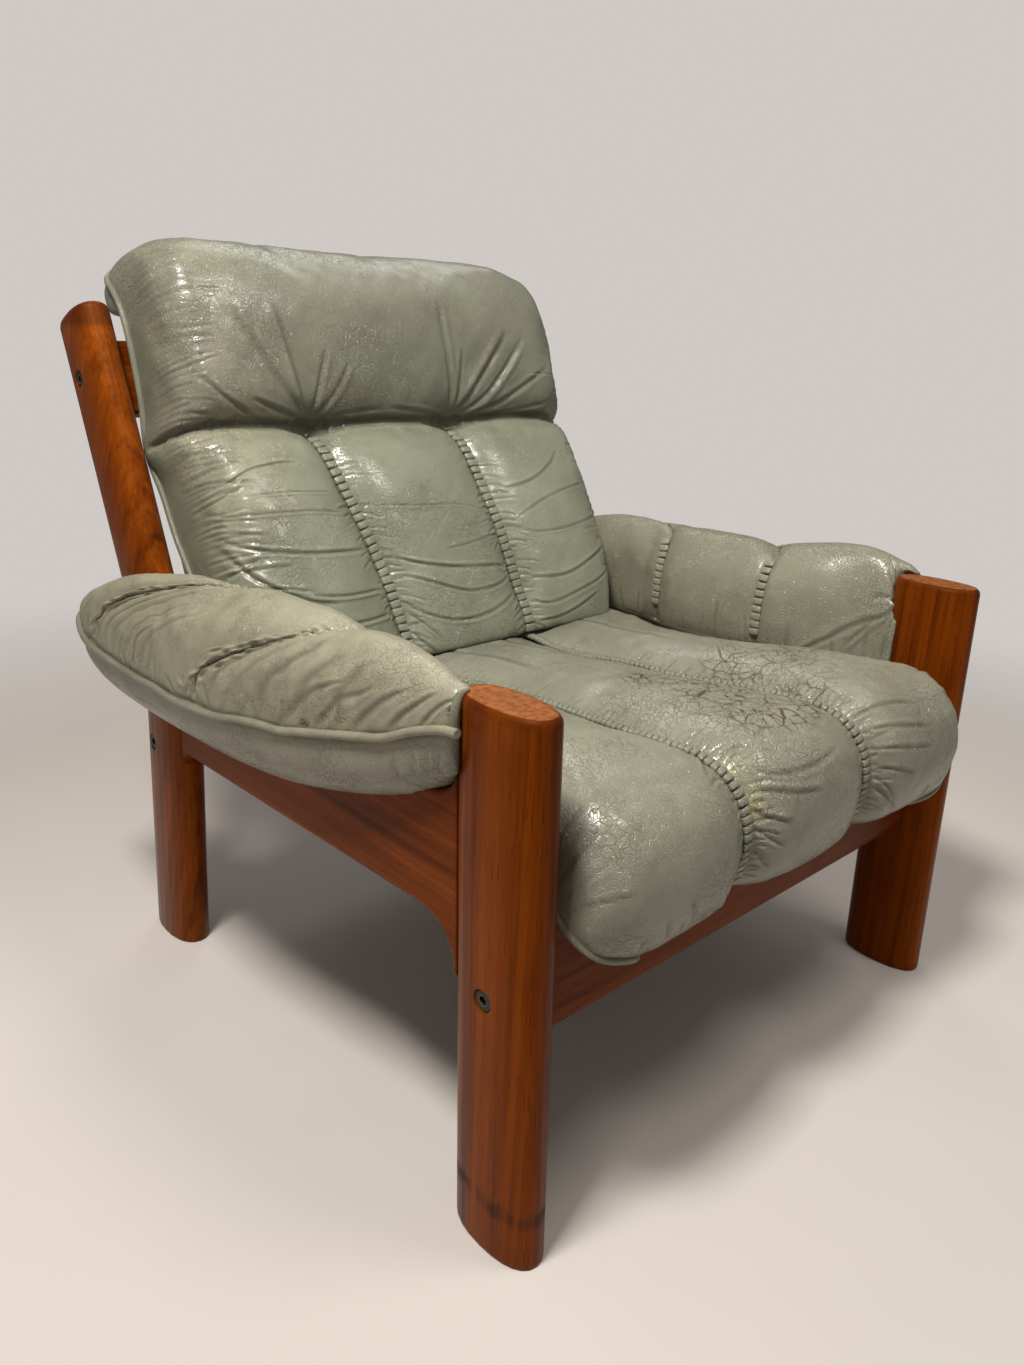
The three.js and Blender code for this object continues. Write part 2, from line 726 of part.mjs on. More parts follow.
// Back cushion: three stuffed panels below a cross seam, and a header pillow that wraps over the top
function backGeometry() {
  const restReach = backRailThickness / 2 + jointGap + backStrapThickness + cushionGap;
  const seamAlong = postLength - backSeamDrop;
  const curveStart = postLength - headerCurveDrop;
  const topAlong = postLength + headerTopRise;
  const bottomDrop = (backBottomHeight - bendPoint.z - leanSin * backBottomReach) / leanCos;
  const rungs = [];
  const lowerSteps = 11;
  for (let step = 0; step <= lowerSteps; step += 1) {
    const share = (1 - Math.cos((Math.PI * step) / lowerSteps)) / 2;
    const frontAlong = lerp(bottomDrop, seamAlong, share);
    const rearAlong = lerp(backBottomAlong, seamAlong, share);
    const reach = lerp(backBottomReach, backSeamReach, share) + backLowerBulge * stuffed(share);
    const notch = backSeamNotch * (1 - stuffed(Math.max(share, 0.5)));
    rungs.push({ frontAlong, rearAlong, reach: reach - notch, panels: 1, above: -1 });
  }
  const headerSteps = 5;
  for (let step = 1; step <= headerSteps; step += 1) {
    const share = (1 - Math.cos((Math.PI * step) / headerSteps / 2));
    const along = lerp(seamAlong, curveStart, share);
    const reach = lerp(backSeamReach, headerReach, share);
    const notch = backSeamNotch * (1 - stuffed(Math.min(share, 0.5)));
    rungs.push({ frontAlong: along, rearAlong: along, reach: reach - notch, panels: 0, above: along });
  }
  const wrapSteps = 9;
  for (let step = 1; step <= wrapSteps; step += 1) {
    const angle = (Math.PI / 2) * (step / wrapSteps);
    const wrap = topAlong - curveStart;
    const frontAlong = curveStart + wrap * Math.sin(angle) ** (2 / 3);
    const rearAlong = curveStart + (wrap - backBoxing) * (step / wrapSteps);
    const rearReach = backBoxing - headerOverhang;
    const reach = lerp(rearReach, headerReach, Math.cos(angle) ** (2 / 3));
    rungs.push({ frontAlong, rearAlong, reach, panels: 0, above: frontAlong });
  }
  const strapFoot = -cushionGap - rearStretcherThickness / 2;
  const strapTop = postBoltAlong - backRailHeight / 2;
  const railTop = postBoltAlong + backRailHeight / 2;
  const halfWidth = legInner - backClearance;
  const edges = [-1, -1 / panelCount, 1 / panelCount, 1];
  const rings = panelShares(edges, panelSteps).map(({ share, inside }) => {
    const even = share * halfWidth;
    const atSide = Math.abs(share) > 1 / panelCount && (inside < 0.5) === (share < 0);
    const toSide = (Math.abs(even) - halfWidth + backSideRounding) / backSideRounding;
    const side = roundOff(toSide, backSidePower);
    const seam = atSide ? 0 : backSeamDepth * (1 - stuffed(inside));
    const toSeam = Math.abs(Math.abs(even) - halfWidth / panelCount);
    const toCorner = (Math.abs(even) - halfWidth + headerCornerRadius) / headerCornerRadius;
    const corner = 1 - roundOff(toCorner, headerCornerPower);
    const cornerDrop = share < 0 ? headerLeftCornerDrop : headerRightCornerDrop;
    const place = (along, drop) => {
      const lowered = 1 - (corner * drop) / (topAlong - seamAlong);
      return Math.min(along, seamAlong + (along - seamAlong) * lowered);
    };
    const drift = seamDrift(share);
    const front = [];
    const rear = [];
    for (const { reach, panels, above, ...rung } of rungs) {
      const frontAlong = place(rung.frontAlong, cornerDrop);
      const rearAlong = place(rung.rearAlong, headerRearDrop);
      const slack = (restReach - strapFoot) * (1 - share ** strapSagPower);
      const sag = ((strapTop - rearAlong) / strapTop) * slack;
      const over = smoothstep(rearAlong, railTop + headerStart, railTop + headerStart + backBoxing);
      const overhang = (restReach + headerOverhang) * over;
      const rest = restReach - Math.max(sag, 0) - overhang;
      const fade = Math.exp(-(above - seamAlong) / gatherReach) * Math.exp(-toSeam / gatherWidth);
      const gather = above > 0 ? gatherDepth * fade : 0;
      const full = rest + backBoxing + (reach - rest - backBoxing) * side;
      const x = even - drift * smoothstep(frontAlong, 0, seamAlong);
      const reachHere = Math.max(full - seam * panels - gather, rest + backBoxing * leastBoxing);
      front.push(backPoint(x, frontAlong, reachHere));
      rear.push(backPoint(x, rearAlong, rest));
    }
    return [...front, ...rear.reverse()];
  });
  return loft(rings);
}

// A smooth line through values at equal shares
function line(values) {
  const curve = new THREE.SplineCurve(values.map((value, index) => new THREE.Vector2(index, value)));
  return (share) => curve.getPoint(share).y;
}

// Arm pad over the side rail: sections that fan out to the rear, two gathered seams across
function padGeometry(side) {
  const front = padFront - padFrontOverlap;
  const innerPlace = line([front, ...padInnerPlaces]);
  const outerPlace = line([front, ...padOuterPlaces]);
  const pipingLine = line(padPipingHeights);
  const crownLine = line(padCrownHeights);
  const bandLine = line(padBandHeights);
  const edges = [0, 1 / panelCount, 2 / panelCount, 1];
  const rings = panelShares(edges, panelSteps).map(({ share, inside }) => {
    const innerY = innerPlace(share);
    const outerY = outerPlace(share);
    const innerX = padInner(innerY);
    const widen = lerp(padFrontOverhang, padMiddleOverhang, smoothstep(share, 0, 1 / panelCount));
    const overhang = lerp(widen, padRearOverhang, smoothstep(share, 2 / panelCount, 1));
    const outerX = frameWidth / 2 + overhang;
    const piping = pipingLine(share);
    const toEnd = outerPlace(1) - outerY;
    const end = lerp(padRearFullness, 1, roundOff(1 - toEnd / padEndRounding, padEndPower));
    const fromFront = 1 - (outerY - front) / padFrontOverlap;
    const start = lerp(padFrontFullness, 1, roundOff(fromFront, padEndPower));
    const scale = Math.min(end, start);
    const atEnd = share < edges[1] ? inside < 0.5 : share > edges[2] && inside > 0.5;
    const seam = atEnd ? 0 : padSeamDepth * (1 - stuffed(inside));
    const fan = lerp(padFanFront, padFanRear, share);
    const centreX = (innerX + outerX) / 2;
    const centreZ = (padInnerShoulder + piping) / 2;
    const ring = [];
    for (let step = 0; step < padSectionSegments; step += 1) {
      const angle = (2 * Math.PI * step) / padSectionSegments;
      const upper = Math.sin(angle) >= 0;
      const power = 2 / (upper ? padCrownPower : padBellyPower);
      const out = (1 + signedPower(Math.cos(angle), power)) / 2;
      const base = lerp(padInnerShoulder, piping, out);
      const bottom = lerp(padInnerSkirt, bandLine(share), smoothstep(out, padSkirtStart, padSkirtEnd));
      const rise = upper ? crownLine(share) - centreZ : base - bottom;
      const groove = upper ? seam * Math.sin(angle) ** 0.5 : 0;
      const height = (rise - groove) * signedPower(Math.sin(angle), power);
      const x = centreX + (lerp(innerX, outerX, out) - centreX) * (1 + scale) / 2;
      const z = centreZ + (base + height - centreZ) * scale;
      ring.push(new THREE.Vector3(side * x, lerp(innerY, outerY, out ** fan), z));
    }
    return ring;
  });
  return loft(rings);
}

chair.add(sub('seat_cushion', seatGeometry(), leather, new THREE.Vector3()));
chair.add(sub('back_cushion', backGeometry(), leather, new THREE.Vector3()));
for (const [index, [side, name]] of sides.entries()) {
  const pad = sub(`${name}_arm_pad`, padGeometry(side), leather, new THREE.Vector3());
  carve(pad, [
    placed(frontLegs[index], frontLegGeometry(cushionGap)),
    placed(rearLegs[index], rearLegGeometry(cushionGap)),
    padBlocks[index],
  ]);
  chair.add(pad);
}

// The origin of the part lies on the floor under the middle of the chair
const group = new THREE.Group();
const extent = new THREE.Box3().setFromObject(chair);
chair.position.set(0, -(extent.min.y + extent.max.y) / 2, -extent.min.z);
group.add(chair);

export default group;
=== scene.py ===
import math

import bpy
import numpy as np
from mathutils import Matrix, Vector
from mathutils.bvhtree import BVHTree


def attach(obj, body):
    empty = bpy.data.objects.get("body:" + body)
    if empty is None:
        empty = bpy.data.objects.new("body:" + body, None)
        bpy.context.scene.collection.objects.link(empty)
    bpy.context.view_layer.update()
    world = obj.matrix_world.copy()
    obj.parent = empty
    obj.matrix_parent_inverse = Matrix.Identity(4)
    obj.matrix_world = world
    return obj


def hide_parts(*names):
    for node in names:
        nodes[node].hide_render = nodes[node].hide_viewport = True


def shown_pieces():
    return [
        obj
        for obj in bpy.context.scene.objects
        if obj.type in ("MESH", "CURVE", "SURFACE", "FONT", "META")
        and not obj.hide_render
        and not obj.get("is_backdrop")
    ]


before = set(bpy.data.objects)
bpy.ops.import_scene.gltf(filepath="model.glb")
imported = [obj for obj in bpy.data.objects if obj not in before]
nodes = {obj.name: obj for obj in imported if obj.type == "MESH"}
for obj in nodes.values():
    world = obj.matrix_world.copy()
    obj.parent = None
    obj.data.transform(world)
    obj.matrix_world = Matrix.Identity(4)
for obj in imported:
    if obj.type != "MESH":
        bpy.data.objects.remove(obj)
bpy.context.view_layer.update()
print("frame loaded:", len(nodes), "nodes")

# The chair was drawn in millimetres about its legs; its middle on the floor is a little behind that
rowShift = -0.0606828

viewpoint = {
    "place": (-0.87407, -0.93634, 0.81506),
    "yaw": 42.966,  # degrees to the right of straight ahead
    "pitch": 19.146,  # degrees down
    "roll": 2.231,
    "lens": 26.49,
}

lamps = [
    {"name": "keyPanel", "place": (-1.05, -0.42, 2.45), "size": 0.42, "watts": 66, "tint": (1.0, 0.97, 0.92)},
    {"name": "ceilingPanel", "place": (0.3, -1.05, 2.5), "size": 0.6, "watts": 18, "tint": (1.0, 0.97, 0.92)},
    {"name": "sidePanel", "place": (1.2, 1.6, 2.6), "size": 1.2, "watts": 12, "tint": (1.0, 0.98, 0.95)},
]


def clearSelection():
    if bpy.context.object and bpy.context.object.mode != "OBJECT":
        bpy.ops.object.mode_set(mode="OBJECT")
    bpy.ops.object.select_all(action="DESELECT")


def choose(piece):
    clearSelection()
    piece.select_set(True)
    bpy.context.view_layer.objects.active = piece


def newNode(tree, kind, **settings):
    node = tree.nodes.new(kind)
    for name, value in settings.items():
        setattr(node, name, value)
    return node


def plug(tree, value, socket):
    if isinstance(value, bpy.types.NodeSocket):
        tree.links.new(value, socket)
    else:
        socket.default_value = value


def plugAll(tree, values, sockets):
    for name, value in values.items():
        plug(tree, value, sockets[name])


def maths(tree, operation, first, second=0.0, third=0.0):
    node = newNode(tree, "ShaderNodeMath", operation=operation)
    plugAll(tree, {0: first, 1: second, 2: third}, node.inputs)
    return node.outputs[0]


def times(tree, first, second):
    return maths(tree, "MULTIPLY", first, second)


def timesPlus(tree, first, second, third):
    return maths(tree, "MULTIPLY_ADD", first, second, third)


def between(tree, value, low, high):
    # smooth step from 0 at low to 1 at high
    node = newNode(tree, "ShaderNodeMapRange", interpolation_type="SMOOTHSTEP")
    plugAll(tree, {"Value": value, "From Min": low, "From Max": high}, node.inputs)
    return node.outputs["Result"]


def blendColours(tree, share, first, second, kind="MIX"):
    node = newNode(tree, "ShaderNodeMix", data_type="RGBA", blend_type=kind)
    plugAll(tree, {0: share, 6: first, 7: second}, node.inputs)
    return node.outputs[2]


def layered(tree, colour, look, layers):
    # lays paints of a look over a colour, each where its mask is and as strongly as its share
    for mask, share, paint in layers:
        colour = blendColours(tree, times(tree, mask, share), colour, look[paint])
    return colour


def noise(tree, vector, scale, detail=4.0, roughness=0.55, distortion=0.0, output="Fac"):
    node = newNode(tree, "ShaderNodeTexNoise")
    plugAll(tree, {"Vector": vector, "Scale": scale, "Detail": detail}, node.inputs)
    plugAll(tree, {"Roughness": roughness, "Distortion": distortion}, node.inputs)
    return node.outputs[output]


def cells(tree, vector, scale, feature="F1"):
    node = newNode(tree, "ShaderNodeTexVoronoi", feature=feature)
    plugAll(tree, {"Vector": vector, "Scale": scale}, node.inputs)
    return node.outputs["Distance"]


def mapped(tree, vector, scale, turn=(0, 0, 0), move=(0, 0, 0)):
    node = newNode(tree, "ShaderNodeMapping")
    plugAll(tree, {"Vector": vector, "Location": move, "Rotation": turn, "Scale": scale}, node.inputs)
    return node.outputs[0]


def shaken(tree, vector, scale, amount):
    # the same place, moved a little by a noise
    swirl = noise(tree, vector, scale, 3.0, output="Color")
    shift = newNode(tree, "ShaderNodeVectorMath", operation="MULTIPLY_ADD")
    plugAll(tree, {0: swirl, 1: (amount, amount, amount), 2: vector}, shift.inputs)
    return shift.outputs[0]


def upOf(tree, vector):
    # the third part of a vector
    parts = newNode(tree, "ShaderNodeSeparateXYZ")
    tree.links.new(vector, parts.inputs[0])
    return parts.outputs["Z"]


def addBump(tree, shader, height, strength, distance, under=None):
    # under is a normal that the bump starts from
    bump = newNode(tree, "ShaderNodeBump")
    plugAll(tree, {"Height": height, "Strength": strength, "Distance": distance}, bump.inputs)
    if under is not None:
        tree.links.new(under, bump.inputs["Normal"])
    tree.links.new(bump.outputs[0], shader.inputs["Normal"])


def newGroup(name, inputs, outputs):
    # an input without a value is a vector, and every other socket holds a number
    group = bpy.data.node_groups.new(name, "ShaderNodeTree")
    for label, value in inputs.items():
        kind = "NodeSocketVector" if value is None else "NodeSocketFloat"
        socket = group.interface.new_socket(name=label, in_out="INPUT", socket_type=kind)
        if value is not None:
            socket.default_value = value
    for label in outputs:
        group.interface.new_socket(name=label, in_out="OUTPUT", socket_type="NodeSocketFloat")
    return group, group.nodes.new("NodeGroupInput").outputs, group.nodes.new("NodeGroupOutput").inputs


def useGroup(tree, group, **values):
    node = newNode(tree, "ShaderNodeGroup", node_tree=group)
    plugAll(tree, values, node.inputs)
    return node.outputs


def newMaterial(name):
    material = bpy.data.materials.new(name)
    material.use_nodes = True
    tree = material.node_tree
    tree.nodes.clear()
    shader = newNode(tree, "ShaderNodeBsdfPrincipled")
    output = newNode(tree, "ShaderNodeOutputMaterial")
    tree.links.new(shader.outputs[0], output.inputs["Surface"])
    place = newNode(tree, "ShaderNodeTexCoord").outputs["Object"]
    return material, tree, shader, place


def buildDirtGroup():
    # rubbed-in dirt: soft blotches with small dark specks
    group, given, made = newGroup("handledDirt", {"Vector": None, "Amount": 0.5}, ["Blotch", "Speck"])
    blotch = between(group, noise(group, given["Vector"], 7.0, 5.0, 0.6), 0.42, 0.78)
    spots = between(group, cells(group, given["Vector"], 85.0), 0.16, 0.05)
    rare = between(group, noise(group, given["Vector"], 31.0, 2.0), 0.6, 0.7)
    for name, mask in (("Blotch", blotch), ("Speck", times(group, spots, rare))):
        plug(group, times(group, mask, given["Amount"]), made[name])
    return group


def buildEdgeGroup():
    # how sharply the surface turns within a small radius, 0 on a flat and 1 on an edge
    group, given, made = newGroup("edgeWear", {"Radius": 0.004, "Vector": None}, ["Edge"])
    rounded = newNode(group, "ShaderNodeBevel", samples=6)
    plug(group, given["Radius"], rounded.inputs["Radius"])
    flat = newNode(group, "ShaderNodeNewGeometry").outputs["Normal"]
    same = newNode(group, "ShaderNodeVectorMath", operation="DOT_PRODUCT")
    plugAll(group, {0: rounded.outputs[0], 1: flat}, same.inputs)
    bend = maths(group, "SUBTRACT", 1.0, same.outputs["Value"])
    uneven = noise(group, given["Vector"], 60.0, 3.0)
    plug(group, between(group, times(group, bend, uneven), 0.01, 0.1), made["Edge"])
    return group


def buildGrainGroup():
    # straight teak grain that runs along the third axis of the vector
    group, given, made = newGroup("teakGrain", {"Vector": None}, ["Tone", "Pores", "Height"])

    def drawnOut(vector, length):
        return mapped(group, vector, (1, 1, length))

    lazy = shaken(group, drawnOut(given["Vector"], 0.3), 4.0, 0.03)
    bands = noise(group, drawnOut(lazy, 0.05), 42.0, 5.0, 0.62, 0.6)
    streaks = noise(group, drawnOut(given["Vector"], 0.02), 210.0, 4.0, 0.6)
    cloud = noise(group, drawnOut(given["Vector"], 0.35), 6.0, 3.0, 0.5)
    fine = noise(group, drawnOut(given["Vector"], 0.035), 900.0, 2.0, 0.5)
    tone = timesPlus(group, bands, 0.62, times(group, streaks, 0.24))
    pores = between(group, fine, 0.59, 0.68)
    ridge = timesPlus(group, pores, -0.8, times(group, streaks, 0.5))
    plugAll(group, {"Tone": timesPlus(group, cloud, 0.3, tone), "Pores": pores, "Height": ridge}, made)
    return group


def buildLeatherGroup():
    # pebbled hide with a net of fine folds and a slow mottle
    inputs = {"Vector": None, "Pebble": 620.0, "Fold": 110.0}
    group, given, made = newGroup("leatherSurface", inputs, ["Height", "Folds", "Mottle"])
    pebble = cells(group, shaken(group, given["Vector"], 300.0, 0.0008), given["Pebble"])
    wandering = shaken(group, shaken(group, given["Vector"], 22.0, 0.03), 90.0, 0.006)
    net = cells(group, wandering, given["Fold"], "DISTANCE_TO_EDGE")
    patches = between(group, noise(group, given["Vector"], 9.0, 3.0), 0.4, 0.66)
    finer = cells(group, wandering, times(group, given["Fold"], 2.6), "DISTANCE_TO_EDGE")
    folds = times(group, between(group, net, 0.06, 0.0), patches)
    folds = timesPlus(group, between(group, finer, 0.1, 0.0), 0.35, folds)
    mottle = noise(group, given["Vector"], 11.0, 6.0, 0.62)
    height = timesPlus(group, folds, -1.0, times(group, pebble, 0.1))
    height = timesPlus(group, mottle, 0.2, height)
    plugAll(group, {"Height": height, "Folds": folds, "Mottle": mottle}, made)
    return group


dirtGroup = buildDirtGroup()
edgeGroup = buildEdgeGroup()
grainGroup = buildGrainGroup()
leatherGroup = buildLeatherGroup()
print("shader groups built")


teakLook = {
    "dark": (0.05, 0.009, 0.0008, 1),
    "middle": (0.15, 0.029, 0.0015, 1),
    "light": (0.25, 0.054, 0.003, 1),
    "pore": (0.035, 0.007, 0.001, 1),
    "worn": (0.045, 0.009, 0.002, 1),
    # paler end grain, also laid on the tops of legs and posts as a painted highlight
    "endGrainAndHighlight": (0.33, 0.115, 0.032, 1),
    "scuffed": (0.03, 0.014, 0.01, 1),
    "roughness": 0.26,
    "stops": (0.42, 0.56, 0.74),  # where the ramp is dark, middle and light
    "shine": (1.0, 0.42, 0.14, 1),
    "endFacing": (0.9, 0.97),  # how far up the sawn end of a leg looks
    "endDepth": 0.03,
    "edgeRadius": 0.005,
    "fade": 0.012,  # from the plain leg to its handled top
}


def makeTeak(name, turn, move, paintedShade=1.0, wornFrom=None, scuff=None, shine=0.11):
    # turn brings the length of the piece to the third axis; wornFrom and scuff are heights on the leg; paintedShade
    # darkens the whole piece as painted shade
    material, tree, shader, place = newMaterial(name)
    along = mapped(tree, place, (1, 1, 1), turn, move)
    grain = useGroup(tree, grainGroup, Vector=along)
    dirt = useGroup(tree, dirtGroup, Vector=place, Amount=0.8)
    edge = useGroup(tree, edgeGroup, Vector=place, Radius=teakLook["edgeRadius"])
    ramp = newNode(tree, "ShaderNodeValToRGB")
    stops = ramp.color_ramp.elements
    darkAt, middleAt, lightAt = teakLook["stops"]
    stops[0].position, stops[0].color = darkAt, teakLook["dark"]
    stops[1].position, stops[1].color = lightAt, teakLook["light"]
    stops.new(middleAt).color = teakLook["middle"]
    plug(tree, grain["Tone"], ramp.inputs[0])
    layers = [
        (grain["Pores"], 0.55, "pore"),
        (dirt["Blotch"], 0.35, "dark"),
        (dirt["Speck"], 0.6, "pore"),
        (edge["Edge"], 0.5, "worn"),
    ]
    level = upOf(tree, place)
    rough = timesPlus(tree, grain["Tone"], 0.12, teakLook["roughness"])
    if wornFrom:  # the handled top of a leg is darker and duller round its paler end grain
        ragged = timesPlus(tree, noise(tree, place, 34.0, 4.0), 0.012, level)
        top = between(tree, ragged, wornFrom, wornFrom + teakLook["fade"])
        rough = timesPlus(tree, top, 0.1, rough)
        # the upward faces of the top are painted paler: end grain with a painted highlight
        upward = upOf(tree, newNode(tree, "ShaderNodeTexCoord").outputs["Normal"])
        high = between(tree, level, wornFrom - teakLook["endDepth"], wornFrom)
        endGrainAndHighlight = times(tree, between(tree, upward, *teakLook["endFacing"]), high)
        streaks = between(tree, noise(tree, along, 150.0, 4.0), 0.35, 0.65)
        layers += [(top, 0.62, "worn"), (endGrainAndHighlight, timesPlus(tree, streaks, 0.4, 0.28), "endGrainAndHighlight")]
    if scuff:  # a dark rub mark round the leg
        ragged = timesPlus(tree, noise(tree, place, 26.0, 5.0), 0.03, level)
        off = maths(tree, "ABSOLUTE", maths(tree, "SUBTRACT", ragged, scuff + 0.015))
        mark = times(tree, between(tree, off, 0.013, 0.002), between(tree, grain["Tone"], 0.72, 0.5))
        rough = timesPlus(tree, mark, 0.2, rough)
        layers.append((mark, 0.8, "scuffed"))
    colour = layered(tree, ramp.outputs[0], teakLook, layers)
    # painted shade: the whole colour multiplied darker
    if paintedShade != 1.0:
        colour = blendColours(tree, 1.0, colour, (paintedShade, paintedShade, paintedShade, 1), "MULTIPLY")
    plug(tree, colour, shader.inputs["Base Color"])
    plug(tree, rough, shader.inputs["Roughness"])
    shader.inputs["Specular IOR Level"].default_value = shine
    shader.inputs["Specular Tint"].default_value = teakLook["shine"]
    soft = newNode(tree, "ShaderNodeBevel", samples=8)  # evens out the narrow facets of the turned faces
    soft.inputs["Radius"].default_value = teakLook["edgeRadius"]
    addBump(tree, shader, grain["Height"], 0.25, 0.0006, soft.outputs[0])
    return material


def dress(name, material):
    piece = nodes[name]
    piece.data.materials.clear()
    piece.data.materials.append(material)


def copyNode(nodeName, name):
    piece = bpy.data.objects.new(name, nodes[nodeName].data.copy())
    bpy.context.scene.collection.objects.link(piece)
    piece.data.materials.clear()
    choose(piece)
    bpy.ops.object.mode_set(mode="EDIT")
    bpy.ops.mesh.select_all(action="SELECT")
    bpy.ops.mesh.remove_doubles(threshold=0.0001)
    bpy.ops.object.mode_set(mode="OBJECT")
    return piece


lean = math.radians(23.1)  # of the rear posts
leaning = -lean * 0.6
lengthwise, crosswise = (math.pi / 2, 0, 0), (0, math.pi / 2, 0)
handledPost = {"wornFrom": 0.805, "shine": 0.25}
teakPieces = [  # piece, material, turn and move of the grain, and what only this piece has
    ("left_front_leg", "teakLeftFrontLeg", (0, 0, 0), (0.3, 0.2, 0), {"wornFrom": 0.533, "scuff": 0.058}),
    ("right_front_leg", "teakRightFrontLeg", (0, 0, 0.6), (1.3, 0.7, 0.4), {"wornFrom": 0.533}),
    ("left_rear_leg_and_post", "teakLeftPost", (leaning, 0, 0.3), (2.3, 0.1, 0.9), handledPost),
    ("right_rear_leg_and_post", "teakRightPost", (leaning, 0, 1.1), (3.3, 0.4, 0.2), handledPost),
    ("left_side_rail", "teakLeftRail", lengthwise, (0.7, 1.2, 0.1), {"shine": 0.07}),
    ("right_side_rail", "teakRightRail", lengthwise, (1.9, 2.2, 0.6), {"shine": 0.07}),
    # the stretchers and the back rail get painted shade
    ("front_stretcher", "teakFrontStretcher", crosswise, (0.4, 0.9, 1.3), {"paintedShade": 0.85, "shine": 0.07}),
    ("rear_stretcher", "teakRearStretcher", crosswise, (1.4, 1.9, 0.3), {"paintedShade": 0.85, "shine": 0.07}),
    ("upper_back_rail", "teakBackRail", crosswise, (2.4, 0.2, 0.8), {"paintedShade": 0.75, "shine": 0.07}),
]
for nodeName, name, turn, move, own in teakPieces:
    dress(nodeName, makeTeak(name, turn, move, **own))
print("teak frame dressed")


def makeMetal(name, colour, roughness, rust, metallic=1.0):
    material, tree, shader, place = newMaterial(name)
    dirt = useGroup(tree, dirtGroup, Vector=mapped(tree, place, (6, 6, 6)), Amount=1.0)
    edge = useGroup(tree, edgeGroup, Vector=place, Radius=0.0012)
    paints = {"rust": rust, "bare": (0.42, 0.39, 0.35, 1)}
    colour = layered(tree, colour, paints, [(dirt["Blotch"], 0.7, "rust"), (edge["Edge"], 0.6, "bare")])
    plug(tree, colour, shader.inputs["Base Color"])
    shader.inputs["Metallic"].default_value = metallic
    plug(tree, timesPlus(tree, dirt["Blotch"], 0.3, roughness), shader.inputs["Roughness"])
    addBump(tree, shader, noise(tree, place, 900.0, 3.0), 0.2, 0.0003)
    return material


def makeWebbing(name):
    # woven elastic strap: ribs along it and a fine weft across
    material, tree, shader, place = newMaterial(name)
    threads = []
    for way, scale, distortion in (("X", 120.0, 0.4), ("DIAGONAL", 200.0, 0.0)):
        wave = newNode(tree, "ShaderNodeTexWave", wave_type="BANDS", bands_direction=way)
        plugAll(tree, {"Vector": place, "Scale": scale, "Distortion": distortion}, wave.inputs)
        threads.append(wave.outputs["Fac"])
    weave = times(tree, *threads)
    dirt = useGroup(tree, dirtGroup, Vector=place, Amount=0.7)
    colour = blendColours(tree, weave, (0.022, 0.018, 0.013, 1), (0.075, 0.06, 0.045, 1))
    colour = blendColours(tree, dirt["Blotch"], colour, (0.13, 0.11, 0.085, 1))
    plug(tree, colour, shader.inputs["Base Color"])
    shader.inputs["Roughness"].default_value = 0.88
    addBump(tree, shader, weave, 0.6, 0.0008)
    return material


boltMetal = makeMetal("blackenedSteel", (0.028, 0.024, 0.02, 1), 0.42, (0.075, 0.045, 0.028, 1), 0.7)
nutMetal = makeMetal("zincSteel", (0.4, 0.39, 0.37, 1), 0.36, (0.25, 0.23, 0.2, 1))
strapWebbing = makeWebbing("elasticWebbing")
for nodeName in nodes:
    if nodeName.endswith("_bolt"):
        dress(nodeName, boltMetal)
    elif nodeName.endswith("_nut"):
        dress(nodeName, nutMetal)
    elif "_strap_" in nodeName:
        dress(nodeName, strapWebbing)
print("bolts, nuts and straps dressed")


leatherLook = {
    "roughness": 0.22,
    "specular": 0.62,
    "dirt": (0.125, 0.118, 0.07, 1),
    "tan": (0.36, 0.325, 0.225, 1),
    "shadedAndSoiled": (0.1, 0.09, 0.068, 1),
    # the colour of painted shade in creases, seam grooves and recesses
    "line": (0.075, 0.07, 0.044, 1),
    "crack": (0.045, 0.024, 0.008, 1),
    "yellowed": (0.4, 0.36, 0.17, 1),
}


